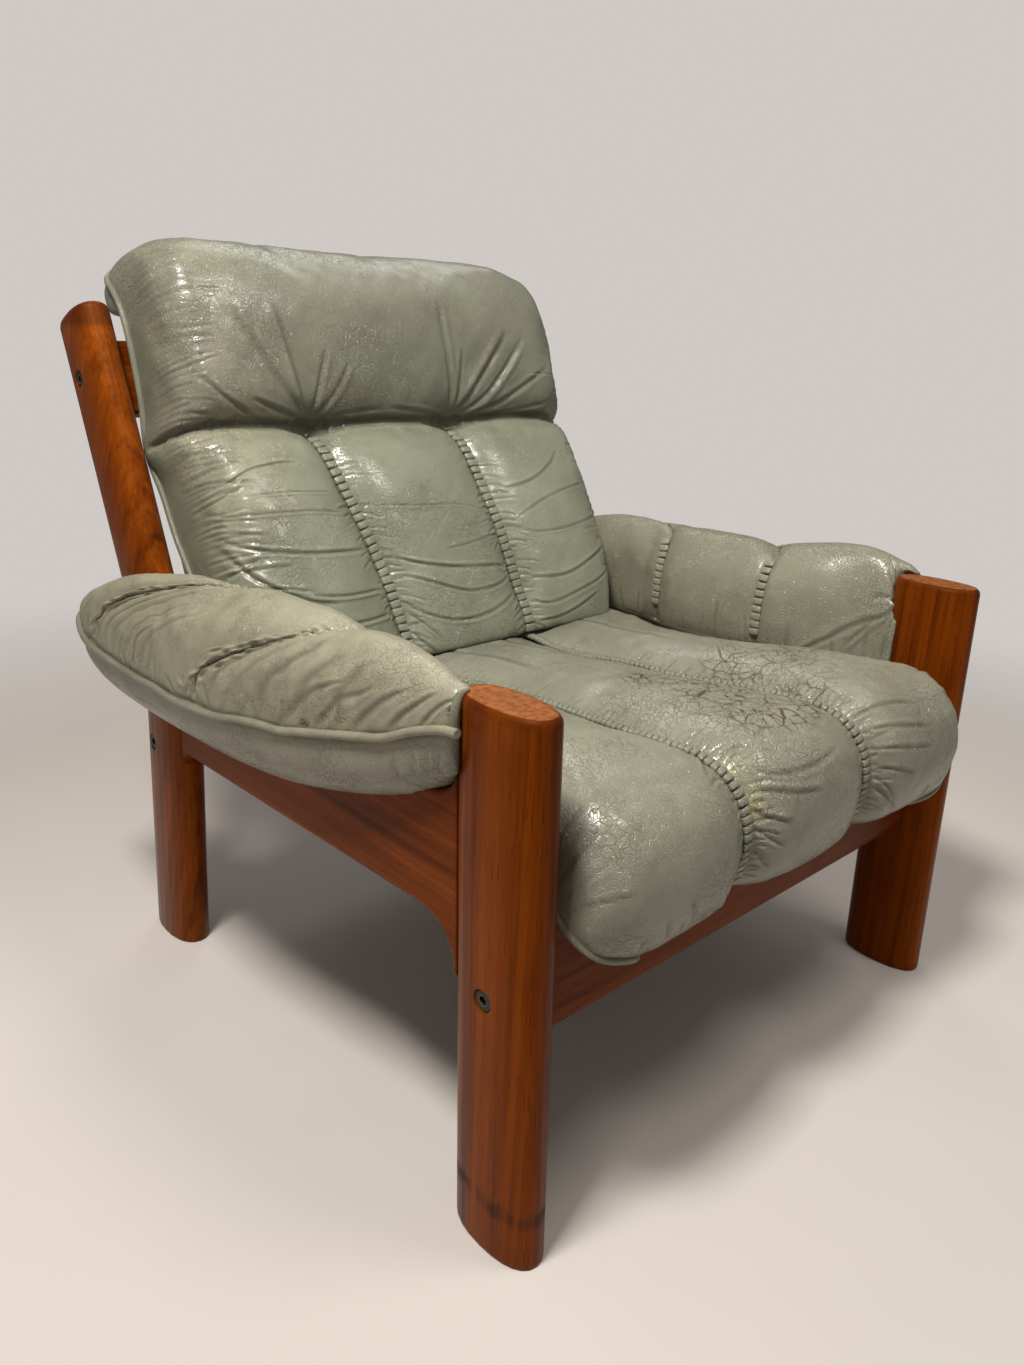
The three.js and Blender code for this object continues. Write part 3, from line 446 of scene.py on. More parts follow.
def makeLeather(name, dark, light, gloss=0.0, pebble=620.0, fold=110.0, crackScale=70.0):
    # marks on the piece say where the leather is creased, cracked, yellowed and worn; the crease mark is painted
    # shade, the wear mark is partly painted light, and the soil mark darkens mostly as painted shade
    material, tree, shader, place = newMaterial(name)
    hide = useGroup(tree, leatherGroup, Vector=place, Pebble=pebble, Fold=fold)
    dirt = useGroup(tree, dirtGroup, Vector=place, Amount=0.6)
    marks = {
        mark: newNode(tree, "ShaderNodeAttribute", attribute_name=mark).outputs["Fac"]
        for mark in ("crease", "wearAndPaintedLight", "crackle", "yellow", "shadeAndSoil")
    }
    patchy = times(tree, marks["wearAndPaintedLight"], between(tree, noise(tree, place, 38.0, 5.0), 0.3, 0.62))
    crooked = shaken(tree, shaken(tree, place, 22.0, 0.03), 160.0, 0.004)
    slanted = mapped(tree, shaken(tree, place, 16.0, 0.025), (1, 0.34, 1), (0, 0, 0.75))
    gaps = noise(tree, place, 40.0, 3.0)
    kinds = (  # wide, small and long cracks through the finish, each broken up by the gaps
        (crooked, crackScale, (0.034, 0.022), (0.34, 0.46)),
        (crooked, crackScale * 2.4, (0.066, 0.036), (0.4, 0.54)),
        (slanted, crackScale * 0.7, (0.03, 0.016), (0.58, 0.46)),
    )
    made = []
    for vector, scale, edge, broken in kinds:
        line = between(tree, cells(tree, vector, scale, "DISTANCE_TO_EDGE"), *edge)
        made.append(times(tree, line, between(tree, gaps, *broken)))
    wide, small, long = made
    cracks = maths(tree, "MAXIMUM", wide, times(tree, small, 0.4))
    cracks = maths(tree, "MAXIMUM", cracks, long)
    cracks = times(tree, cracks, between(tree, marks["crackle"], 0.1, 0.7))
    layers = [
        (dirt["Blotch"], 0.3, "dirt"),
        # paler tan where worn; over the arm tops it is partly painted light
        (patchy, 0.55, "tan"),
        # darker where the soil mark says, mostly painted shade
        (marks["shadeAndSoil"], 0.48, "shadedAndSoiled"),
        (marks["yellow"], 0.7, "yellowed"),
        # darker along the net of fine folds
        (hide["Folds"], 0.22, "dirt"),
        # the crease mark is painted shade: creases, seam grooves, beside the piping and at the pad ends
        (marks["crease"], 0.6, "line"),
        (cracks, 0.95, "crack"),
    ]
    colour = blendColours(tree, between(tree, hide["Mottle"], 0.32, 0.7), dark, light)
    plug(tree, layered(tree, colour, leatherLook, layers), shader.inputs["Base Color"])
    rough = timesPlus(tree, hide["Mottle"], 0.22, leatherLook["roughness"] - gloss)
    rough = timesPlus(tree, patchy, 0.1, rough)
    plug(tree, timesPlus(tree, cracks, 0.3, rough), shader.inputs["Roughness"])
    shader.inputs["Specular IOR Level"].default_value = leatherLook["specular"]
    addBump(tree, shader, timesPlus(tree, cracks, -1.6, hide["Height"]), 0.7, 0.0011)
    return material


hides = {  # dark and light tone, and what only this hide has
    "sageLeatherBack": ((0.194, 0.198, 0.138, 1), (0.23, 0.241, 0.172, 1), {"gloss": 0.1}),
    "sageLeatherSeat": ((0.192, 0.191, 0.139, 1), (0.236, 0.239, 0.178, 1), {"gloss": 0.08, "crackScale": 46.0}),
    "sageLeatherArms": ((0.225, 0.216, 0.15, 1), (0.272, 0.264, 0.188, 1), {"gloss": 0.06, "crackScale": 120.0}),
    "sageLeatherPiping": ((0.19, 0.186, 0.13, 1), (0.23, 0.222, 0.158, 1), {"pebble": 900.0, "fold": 260.0}),
}
backLeather, seatLeather, armLeather, pipingLeather = (
    makeLeather(name, dark, light, **own) for name, (dark, light, own) in hides.items()
)
print("leather mixed")


def readVectors(things, name):
    values = np.empty(len(things) * 3)
    things.foreach_get(name, values)
    return values.reshape(-1, 3)


def readPoints(piece):
    return readVectors(piece.data.vertices, "co")


def readNormals(piece):
    return readVectors(piece.data.vertex_normals, "vector")


def writePoints(piece, points):
    piece.data.vertices.foreach_set("co", points.ravel())
    piece.data.update()


def setMark(piece, name, values):
    mark = piece.data.attributes.new(name, "FLOAT", "POINT")
    mark.data.foreach_set("value", np.clip(values, 0, 1).astype(np.float32))


def rise(low, high, value):
    # smooth step from 0 at low to 1 at high
    share = np.clip((value - low) / (high - low), 0, 1)
    return share * share * (3 - 2 * share)


def bell(off, width, power=2):
    # 1 where off is 0, and almost nothing two widths away
    return np.exp(-((off / width) ** power))


def waves(points, seed, length, count=14):
    # smooth wandering values of about -1 to 1, with bumps of the given length
    chance = np.random.default_rng(seed)
    total = np.zeros(len(points))
    for _ in range(count):
        way = chance.normal(size=points.shape[1])
        way *= 2 * math.pi / (length * np.linalg.norm(way) * chance.uniform(0.7, 1.5))
        total += np.sin(points @ way + chance.uniform(0, 2 * math.pi))
    return total / math.sqrt(count / 2) / 1.6


def curved(path):
    # rounds the bends of a path, ends kept
    path = np.array(path, float)
    for _ in range(2):
        first, second = path[:-1] * 0.75 + path[1:] * 0.25, path[:-1] * 0.25 + path[1:] * 0.75
        path = np.vstack([path[:1], np.stack([first, second], axis=1).reshape(-1, path.shape[1]), path[-1:]])
    return path


fullDepth = 0.0012  # a crease this deep is as dark as any


def pressCreases(flat, creases, seed):
    # flat is the pattern place of every point; each crease is a path in millimetres with a depth and width
    chance = np.random.default_rng(seed)
    height = np.zeros(len(flat))
    shadow = np.zeros(len(flat))
    for path, depth, width in creases:
        bends = curved(path) / 1000
        depth, width = depth / 1000, width / 1000
        margin = 4 * width
        low, high = bends.min(0) - margin, bends.max(0) + margin
        near = np.flatnonzero(np.all((flat > low) & (flat < high), axis=1))
        if len(near) == 0:
            continue
        spots = flat[near]
        steps = np.linalg.norm(np.diff(bends, axis=0), axis=1)
        whole = steps.sum()
        best = np.full(len(near), 1e9)
        where = np.zeros(len(near))
        sideways = np.zeros(len(near))
        done = 0.0
        for start, end, step in zip(bends[:-1], bends[1:], steps):
            run = (end - start) / max(step, 1e-9)
            share = np.clip((spots - start) @ run, 0, step)
            away = spots - start - share[:, None] * run
            distance = np.linalg.norm(away, axis=1)
            closer = distance < best
            best[closer] = distance[closer]
            where[closer] = (done + share[closer]) / whole
            sideways[closer] = np.sign(away[closer] @ np.array([-run[1], run[0]]))
            done += step
        tilt = chance.uniform(-0.5, 0.5)
        fade = np.clip(np.minimum(where, 1 - where) * 5, 0.0, 1) ** 0.7
        valley = bell(best, width)
        lip = bell(best - 2.2 * width, 1.2 * width) * (0.38 + tilt * sideways)
        height[near] += depth * fade * (lip - valley)
        shadow[near] = np.maximum(shadow[near], fade * valley * min(1, depth / fullDepth))
    return height, shadow


def applyNew(piece, kind, **settings):
    # adds a modifier with these settings and applies it
    modifier = piece.modifiers.new(kind.lower(), kind)
    for name, value in settings.items():
        setattr(modifier, name, value)
    bpy.ops.object.modifier_apply(modifier=modifier.name)


def remesh(piece, size):
    choose(piece)
    piece.data.remesh_voxel_size = size
    piece.data.use_remesh_fix_poles = True
    bpy.ops.object.voxel_remesh()
    applyNew(piece, "SMOOTH", factor=0.5, iterations=5)


stuffing = {
    "quality": 4,
    "mass": 0.35,
    "tension_stiffness": 18,
    "compression_stiffness": 18,
    "shear_stiffness": 6,
    "bending_stiffness": 4.0,
    "use_pressure": True,
    "vertex_group_mass": "sewn",
}
stuffingFrames = 14


def stuff(piece, held, look):
    # held is 1 where the cover is sewn or rests on something; the rest swells against its stuffing
    choose(piece)
    before = readPoints(piece)
    group = piece.vertex_groups.new(name="sewn")
    for level in range(1, 11):
        chosen = np.flatnonzero(np.round(held * 10) == level)
        if len(chosen):
            group.add(chosen.tolist(), level / 10, "REPLACE")
    cloth = piece.modifiers.new("stuffing", "CLOTH")
    for name, value in stuffing.items():
        setattr(cloth.settings, name, value)
    cloth.settings.uniform_pressure_force = look["pressure"]
    cloth.settings.shrink_min = -look["slack"]
    cloth.settings.effector_weights.gravity = 0
    cloth.point_cache.frame_start = 1
    cloth.point_cache.frame_end = stuffingFrames
    for step in range(1, stuffingFrames + 1):
        bpy.context.scene.frame_set(step)
    bpy.ops.object.modifier_apply(modifier=cloth.name)
    bpy.context.scene.frame_set(1)
    moved = readPoints(piece) - before
    far = np.linalg.norm(moved, axis=1, keepdims=True)
    writePoints(piece, before + moved * np.minimum(1, look["cap"] / np.maximum(far, 1e-9)))
    applyNew(piece, "SMOOTH", factor=0.5, iterations=14)
    piece.vertex_groups.clear()


def soften(piece):
    choose(piece)
    applyNew(piece, "SUBSURF", levels=1, render_levels=1)


def refine(piece, wanted):
    # one more cut in the faces whose corners are all wanted
    choose(piece)
    mesh = piece.data
    mesh.vertices.foreach_set("select", np.zeros(len(mesh.vertices), bool))
    mesh.edges.foreach_set("select", np.zeros(len(mesh.edges), bool))
    corners = np.empty(len(mesh.loops), np.int32)
    mesh.loops.foreach_get("vertex_index", corners)
    starts = np.empty(len(mesh.polygons), np.int32)
    mesh.polygons.foreach_get("loop_start", starts)
    every = np.minimum.reduceat(wanted[corners].astype(np.int8), starts).astype(bool)
    mesh.polygons.foreach_set("select", every)
    bpy.ops.object.mode_set(mode="EDIT")
    bpy.ops.mesh.select_mode(type="FACE")
    bpy.ops.mesh.subdivide(number_cuts=1, smoothness=1.0)
    bpy.ops.object.mode_set(mode="OBJECT")


def finishPiece(piece, material, replaced=()):
    choose(piece)
    bpy.ops.object.shade_smooth()
    piece.data.materials.clear()
    piece.data.materials.append(material)
    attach(piece, "root")
    if replaced:
        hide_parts(*replaced)


def surfaceOf(piece):
    return BVHTree.FromObject(piece, bpy.context.evaluated_depsgraph_get())


def relaxed(points, rounds):
    # smooths a path of points, ends kept
    path = np.array(points, float)
    for _ in range(rounds):
        path[1:-1] = (path[:-2] + 2 * path[1:-1] + path[2:]) / 4
    return path


def runAlong(path):
    # how far along the path each of its points is
    return np.r_[0, np.cumsum(np.linalg.norm(np.diff(path, axis=0), axis=1))]


def spotsAt(marks, steps, path):
    # what a path says at these runs along it
    return np.stack([np.interp(marks, steps, path[:, axis]) for axis in range(3)], axis=-1)


def evenly(path, pitch):
    steps = runAlong(path)
    count = max(2, int(round(steps[-1] / pitch)))
    return spotsAt((np.arange(count) + 0.5) / count * steps[-1], steps, path)


def castSeam(surface, shots):
    # shots are (start, outward direction, reach, lift); gives where they land and their directions
    spots, ways = [], []
    for start, way, reach, lift in shots:
        hit, _, _, _ = surface.ray_cast(start, -way, reach)
        if hit is not None:
            spots.append(hit + way * lift)
            ways.append(way)
    return spots, ways


def makeBead(look):
    # one stuffed square of a laced seam, across X and along Y
    clearSelection()
    bpy.ops.mesh.primitive_cube_add(size=1)
    bead = bpy.context.object
    bead.scale = (look["across"], look["long"], look["high"])
    bpy.ops.object.transform_apply(location=False, rotation=False, scale=True)
    bpy.ops.object.mode_set(mode="EDIT")
    bpy.ops.mesh.select_all(action="SELECT")
    bpy.ops.mesh.bevel(offset=look["high"] * 0.32, segments=2, profile=0.5, affect="EDGES")
    bpy.ops.object.mode_set(mode="OBJECT")
    return bead


seamStep = 0.004  # how far ahead and behind a bead the direction of its seam is read


def laceSeam(name, seams, look, material):
    # seams holds paths of (place, outward direction); beads lie along each in its groove
    bead = makeBead(look)
    shape = readPoints(bead)
    laid = []
    chance = np.random.default_rng(look["seed"])
    for spots, ways in seams:
        path = relaxed(spots, 3)
        ways = np.array(ways, float)
        steps = runAlong(path)
        count = int(steps[-1] / look["pitch"])
        for index in range(count):
            mark = (index + 0.5) / count * steps[-1]
            at, before, after = (spotsAt(run, steps, path) for run in (mark, mark - seamStep, mark + seamStep))
            out = spotsAt(mark, steps, ways)
            along = (after - before) / np.linalg.norm(after - before)
            across = np.cross(along, out)
            across /= np.linalg.norm(across)
            out = np.cross(across, along)
            skew = look["skew"] * rise(0, 0.3, min(mark, steps[-1] - mark)) + chance.uniform(-0.08, 0.08)
            turned = shape.copy()
            turned[:, 1] += turned[:, 0] * skew
            turned *= chance.uniform(0.93, 1.05)
            copy = bead.copy()
            copy.data = bead.data.copy()
            bpy.context.scene.collection.objects.link(copy)
            writePoints(copy, at + turned @ np.stack([across, along, out]) + out * look["lift"])
            laid.append(copy)
    bpy.data.objects.remove(bead)
    clearSelection()
    for copy in laid:
        copy.select_set(True)
    bpy.context.view_layer.objects.active = laid[0]
    bpy.ops.object.join()
    row = bpy.context.object
    row.name = name
    finishPiece(row, material)


def makePiping(name, paths, radius, material):
    for path in paths:
        print(name, "length in mm:", round(float(runAlong(path)[-1]) * 1000))
    curve = bpy.data.curves.new(name, "CURVE")
    curve.dimensions = "3D"
    curve.bevel_depth = radius
    curve.bevel_resolution = 3
    curve.use_fill_caps = True
    for path in paths:
        spline = curve.splines.new("POLY")
        spline.points.add(len(path) - 1)
        spline.points.foreach_set("co", np.c_[path, np.ones(len(path))].ravel())
    piece = bpy.data.objects.new(name, curve)
    bpy.context.scene.collection.objects.link(piece)
    choose(piece)
    bpy.ops.object.convert(target="MESH")
    piece = bpy.context.object
    finishPiece(piece, material)
    return piece


cordPitch = 0.006


def snapPath(path, surface, lift):
    # lays a path on a surface, lifted so that a share of the cord stands proud
    laid = []
    for spot in evenly(np.array(path, float), cordPitch):
        place, normal, _, _ = surface.find_nearest(Vector(spot))
        laid.append(np.array(place) + np.array(normal) * lift)
    return relaxed(laid, 14)


def puckers(seamPlace, seamAway, reach, tilt, seed, pitch=11.0, share=0.9, strength=1.0):
    # short creases that leave a seam on both sides; seamPlace gives the seam's middle for a run in mm
    chance = np.random.default_rng(seed)
    made = []
    for run in np.arange(reach[0], reach[1], pitch):
        for side in (-1, 1):
            if chance.random() > share:
                continue
            start = seamPlace(run)
            length = chance.uniform(8, 30) * (1.5 if chance.random() < 0.2 else 1)
            drop = chance.normal(tilt, 0.18) * length
            first = (start + side * seamAway, run)
            middle = (start + side * (seamAway + length * 0.5), run + drop * 0.35)
            last = (start + side * (seamAway + length), run + drop)
            made.append(((first, middle, last), chance.uniform(0.5, 1.15) * strength, chance.uniform(1.3, 2.0)))
    return made


# Back cushion. Its pattern plane is x and the run up the posts from their bend, in metres
backLook = {
    "bend": (0.340 - math.tan(math.radians(4.5)) * 0.378 + rowShift, 0.378),
    "voxel": 0.006,
    "pressure": 4.0,
    "slack": 0.004,
    "cap": 0.012,
    "edge": 328,  # half its width in mm
    "seam": 0.290,  # the cross seam
    "seamBottom": 0.109,
    "driftLeft": 0.034,
    "driftRight": 0.013,
    "grooveDepth": 0.004,
    "grooveWidth": 0.0085,
    "crossDepth": 0.009,
    "crossWidth": 0.0038,
    "valleyDepth": 0.006,
    "valleyWidth": 0.026,
    "arch": 0.005,
    "notch": 0.014,
}


def readBack():
    # points and normals, x and the run up the posts, and how far each point faces forward
    points, normals = readPoints(backCushion), readNormals(backCushion)
    y, z = points[:, 1] - backLook["bend"][0], points[:, 2] - backLook["bend"][1]
    facing = -normals[:, 1] * math.cos(lean) + normals[:, 2] * math.sin(lean)
    return points, normals, points[:, 0].copy(), y * math.sin(lean) + z * math.cos(lean), facing


def backPoint(x, along, forward):
    y = backLook["bend"][0] + math.sin(lean) * along - math.cos(lean) * forward
    return (x, y, backLook["bend"][1] + math.cos(lean) * along + math.sin(lean) * forward)


def backSeamAt(side, along):
    drift = backLook["driftLeft"] if side < 0 else backLook["driftRight"]
    return side * backLook["seamBottom"] - drift * rise(0, backLook["seam"], along)


backCreases = [  # long creases of the lower panels
    ([(-326, 196), (-316, 173), (-273, 167), (-205, 166), (-152, 161)], 1.3, 2.0),
    ([(-324, 157), (-311, 137), (-280, 120), (-225, 110), (-161, 107), (-134, 112)], 2.2, 2.8),
    ([(-323, 146), (-311, 110), (-290, 79), (-252, 53), (-207, 42)], 2.4, 3.0),
    ([(-242, 59), (-191, 50), (-124, 56)], 2.2, 2.6),
    ([(-219, 17), (-173, 15), (-122, 22)], 2.0, 2.6),
    ([(-314, 201), (-282, 223), (-242, 232), (-198, 233)], 1.2, 1.8),
    ([(-291, 192), (-232, 193), (-160, 189)], 1.0, 1.6),
    ([(-110, 168), (-45, 158), (34, 156), (92, 137)], 1.1, 1.8),
    ([(-107, 98), (-63, 77), (-1, 64), (92, 60)], 1.9, 2.4),
    ([(-100, 72), (-44, 46), (3, 28), (60, 32), (92, 44)], 2.0, 2.4),
    ([(-102, 32), (-66, 5), (-20, -9), (39, -3), (95, 20)], 2.1, 2.6),
    ([(-23, 93), (34, 98), (96, 110)], 1.2, 1.8),
    ([(-100, -8), (-86, -28), (-70, -42)], 1.4, 2.2),
    ([(-100, 21), (-59, -26)], 1.6, 2.2),
    ([(20, 122), (60, 124), (94, 132)], 0.9, 1.6),
    ([(124, 173), (174, 177), (223, 201), (250, 226)], 1.6, 2.4),
    ([(133, 126), (201, 155), (300, 173)], 1.2, 2.0),
    ([(132, 108), (167, 99), (224, 101), (310, 120)], 1.4, 2.0),
    ([(122, 37), (177, 28), (219, 36), (309, 73)], 2.0, 2.6),
    ([(118, 6), (148, -10), (213, 3), (267, 16), (300, 34)], 1.8, 2.4),
    ([(116, -30), (178, -30), (260, -3)], 1.6, 2.2),
]
headerCreases = [  # folds that fan out of the two gathered points under the headrest
    ([(-150, 296), (-186, 328), (-215, 377), (-247, 430)], 2.8, 5.4),
    ([(-148, 298), (-163, 340), (-175, 392), (-184, 440)], 2.4, 4.6),
    ([(-143, 298), (-132, 338), (-120, 380)], 2.2, 3.9),
    ([(-138, 296), (-106, 329), (-84, 366)], 1.6, 3.9),
    ([(-154, 294), (-196, 306), (-235, 320)], 2.2, 3.1),
    ([(-225, 296), (-272, 320), (-301, 351)], 2.1, 3.1),
    ([(-170, 292), (-215, 296), (-262, 300)], 1.6, 2.4),
    ([(94, 294), (90, 336), (80, 404), (84, 450)], 2.4, 4.6),
    ([(98, 294), (108, 334), (116, 390)], 1.8, 3.9),
    ([(102, 294), (133, 328), (172, 372), (205, 412)], 3.0, 5.0),
    ([(104, 293), (151, 315), (192, 356), (232, 404)], 2.8, 4.6),
    ([(110, 293), (171, 304), (220, 328), (280, 362)], 2.4, 3.9),
    ([(116, 292), (193, 297), (251, 304), (290, 312)], 1.8, 3.1),
    ([(88, 292), (40, 300), (-20, 306)], 1.3, 3.1),
    ([(-130, 294), (-80, 302), (-30, 306)], 1.1, 3.1),
    ([(-176, 414), (-139, 418), (-88, 432)], 0.4, 0.9),
    ([(-220, 411), (-168, 411), (-81, 404), (4, 402)], 0.5, 1.0),
    ([(-20, 440), (60, 436), (120, 444)], 0.4, 0.9),
]


def sideGathers(edge, low, high, inward, seed, depth=1.3):
    # short creases that start at a side piping
    chance = np.random.default_rng(seed)
    made = []
    run = low
    while run < high:
        length = chance.uniform(18, 62) * (1.6 if chance.random() < 0.15 else 1)
        slope = chance.normal(0.0, 0.2)
        kink = chance.uniform(-3, 3)
        path = [
            (edge, run),
            (edge + inward * length * 0.45, run + slope * length * 0.4 + kink),
            (edge + inward * length, run + slope * length),
        ]
        made.append((path, chance.uniform(0.6, 1.1) * depth, chance.uniform(1.4, 2.2)))
        run += chance.uniform(6, 12)
    return made


backCushion = copyNode("back_cushion", "backCushion")
remesh(backCushion, backLook["voxel"])
points, normals, x, along, facing = readBack()
held = 1 - rise(-0.25, 0.2, facing)
for side in (-1, 1):
    offSeam = np.abs(x - backSeamAt(side, along))
    held = np.maximum(held, (1 - rise(0.003, 0.012, offSeam)) * (along < backLook["seam"]))
held = np.maximum(held, 1 - rise(0.003, 0.014, np.abs(along - backLook["seam"])))
held = np.maximum(held, 1 - rise(0.0, 0.03, along + 0.05))
stuff(backCushion, held, backLook)
print("back cushion stuffed:", len(backCushion.data.vertices), "points")
soften(backCushion)
points, normals, x, along, facing = readBack()
nearSeam = np.minimum(*(np.abs(x - backSeamAt(side, along)) for side in (-1, 1)))
lower = (facing > 0.05) & (along > -0.04) & (along < 0.38)
refine(backCushion, lower & ((nearSeam < 0.04) | (x < 0) | (along > 0.27)))
points, normals, x, along, facing = readBack()
front = rise(-0.1, 0.3, facing)
below = 1 - rise(backLook["seam"] - 0.006, backLook["seam"] + 0.006, along)
panelFlat = np.c_[x, along]
edge = backLook["edge"]
creases = [(path, depth * 0.85, width * 0.8) for path, depth, width in backCreases]
for side, seed in ((-1, 3), (1, 4)):
    seamRun = lambda run, side=side: backSeamAt(side, run / 1000) * 1000
    creases += puckers(seamRun, 6.5, (-40, 180), -0.35, seed, 10.6, 0.8, 0.85)
    creases += puckers(seamRun, 6.5, (185, 275), -0.3, seed + 10, 15.0, 0.5, 0.4)
creases += sideGathers(-edge, 20, 285, 1, 5, 1.1) + sideGathers(edge, 20, 280, -1, 6, 0.9)
height, shadow = pressCreases(panelFlat, creases, 11)
height *= below
shadow *= below
creases = [(path, depth * 0.8, width * 0.85) for path, depth, width in headerCreases]
creases += sideGathers(-edge, 298, 520, 1, 7, 0.9) + sideGathers(edge, 298, 430, -1, 8, 0.7)
upper, upperShadow = pressCreases(panelFlat, creases, 12)
height += upper * (1 - below)
shadow = np.maximum(shadow, upperShadow * (1 - below) * 0.6)
groove, valley, gathered = np.zeros((3, len(points)))
for side in (-1, 1):
    off = np.abs(x - backSeamAt(side, along))
    groove = np.maximum(groove, bell(off, backLook["grooveWidth"]) * below)
    valley = np.maximum(valley, bell(off, backLook["valleyWidth"]) * below)
    end = panelFlat - [backSeamAt(side, backLook["seam"]), backLook["seam"]]
    gathered += np.exp(-((end[:, 0] / 0.03) ** 2) - (end[:, 1] / 0.022) ** 2)
arch = np.abs(np.sin((x - backSeamAt(1, backLook["seam"])) / 0.237 * math.pi))
offCross = along - backLook["seam"] - backLook["arch"] * (arch - 0.4)
cross = bell(offCross, backLook["crossWidth"])
foot = 0.05 + 0.95 * rise(-0.045, 0.03, along)
height -= (backLook["grooveDepth"] * groove) * foot + backLook["crossDepth"] * cross + 0.005 * gathered
height -= np.maximum(backLook["valleyDepth"] * valley * foot, 0.005 * bell(offCross, 0.02))
notch = bell(offCross, 0.03) * rise(0.285, 0.325, np.abs(x))
points[:, 0] += backLook["notch"] * notch * np.sign(x)
# the right side stands fuller, and hangs in towards its foot
fuller = 0.009 * rise(0.0, 0.1, along) + 0.004 * rise(0.29, 0.36, along)
fuller -= 0.016 * (1 - rise(-0.05, 0.04, along))
points[:, 0] += fuller * rise(0.14, 0.32, x)
shadow = np.maximum(shadow, np.maximum(groove * 0.55, cross))
broad = waves(points, 21, 0.1) * 0.0008 + waves(points, 22, 0.035) * 0.0003
writePoints(backCushion, points + normals * ((height + broad) * front)[:, None])
setMark(backCushion, "crease", shadow * front)
worn = bell(x + 0.265, 0.045) * rise(0.12, 0.2, along) * 0.75
worn += np.exp(-(((x + 0.2) / 0.09) ** 2 + ((along - 0.36) / 0.05) ** 2)) * 0.5
worn += bell(x + 0.315, 0.02) * 0.5
setMark(backCushion, "wearAndPaintedLight", worn * front)
# the headrest above the cross seam is painted darker as painted shade
setMark(backCushion, "shadeAndSoil", (1 - below) * (0.85 + 0.3 * waves(points, 23, 0.15)))
finishPiece(backCushion, backLeather, ["back_cushion"])
backSurface = surfaceOf(backCushion)
print("back cushion creased")

backBead = {
    "across": 0.0162, "long": 0.0107, "high": 0.0064, "pitch": 0.0109, "lift": 0.0044, "skew": 0.15, "seed": 31,
}
outward = Vector(backPoint(0, 0, 1)) - Vector(backPoint(0, 0, 0))
backSeams = []
for side in (-1, 1):
    shots = []
    for run in np.linspace(-0.045, 0.272, 60):
        shots.append((Vector(backPoint(backSeamAt(side, run), run, 0.35)), outward, 0.4, 0))
    backSeams.append(castSeam(backSurface, shots))
laceSeam("backLacing", backSeams, backBead, backLeather)
print("back cushion laced")


# Seat cushion. Its pattern plane is x and the run forward over the nose, in metres
seatLook = {
    "corner": (-0.33888 + rowShift, 0.32358),
    "noseRadius": 0.095,
    "voxel": 0.006,
    "pressure": 4.0,
    "slack": 0.004,
    "cap": 0.010,
    "halfWidth": 0.334,
    "seamPlace": 111.3,  # in mm
    "grooveDepth": 0.0045,
    "grooveWidth": 0.008,
    "valleyDepth": 0.01,
    "valleyWidth": 0.03,
    "cornerTop": 0.345,
    "cornerRadius": 0.07,
}


padSide = {"inner": 0.338, "inward": 0.037, "retreat": 0.004}  # where the seat ends and the arm pads begin


def padInnerAt(y):
    inward = rise(-0.2738, -0.1138, y - rowShift)
    retreat = rise(0.040, 0.140, y - rowShift)
    return padSide["inner"] - (padSide["inward"] * inward * (1 - retreat) + padSide["retreat"] * retreat)


def seatHalf(y):
    return np.minimum(seatLook["halfWidth"], padInnerAt(y) - 0.0005)


def noseTuck(z):
    # how far the lower corners of the nose round inwards
    down = np.clip((seatLook["cornerTop"] - z) / seatLook["cornerRadius"], 0, 0.97)
    return seatLook["cornerRadius"] * (1 - np.sqrt(1 - down**2))


def readSeat():
    # points and normals, x, the run forward over the nose, how far each point faces out of the seat's fold,
    # and x as a share of half the width
    points, normals = readPoints(seatCushion), readNormals(seatCushion)
    behind = points[:, 1] - seatLook["corner"][0]
    above = points[:, 2] - seatLook["corner"][1]
    turn = np.arctan2(np.maximum(-behind, 0), above)
    run = np.where(behind > 0, -behind, seatLook["noseRadius"] * turn)
    ways = np.c_[np.zeros(len(points)), np.minimum(behind, 0), np.where(behind > 0, 1.0, above)]
    ways = ways / np.maximum(np.linalg.norm(ways, axis=1, keepdims=True), 1e-9)
    across = points[:, 0] / seatHalf(points[:, 1])
    return points, normals, points[:, 0].copy(), run, (normals * ways).sum(1), across


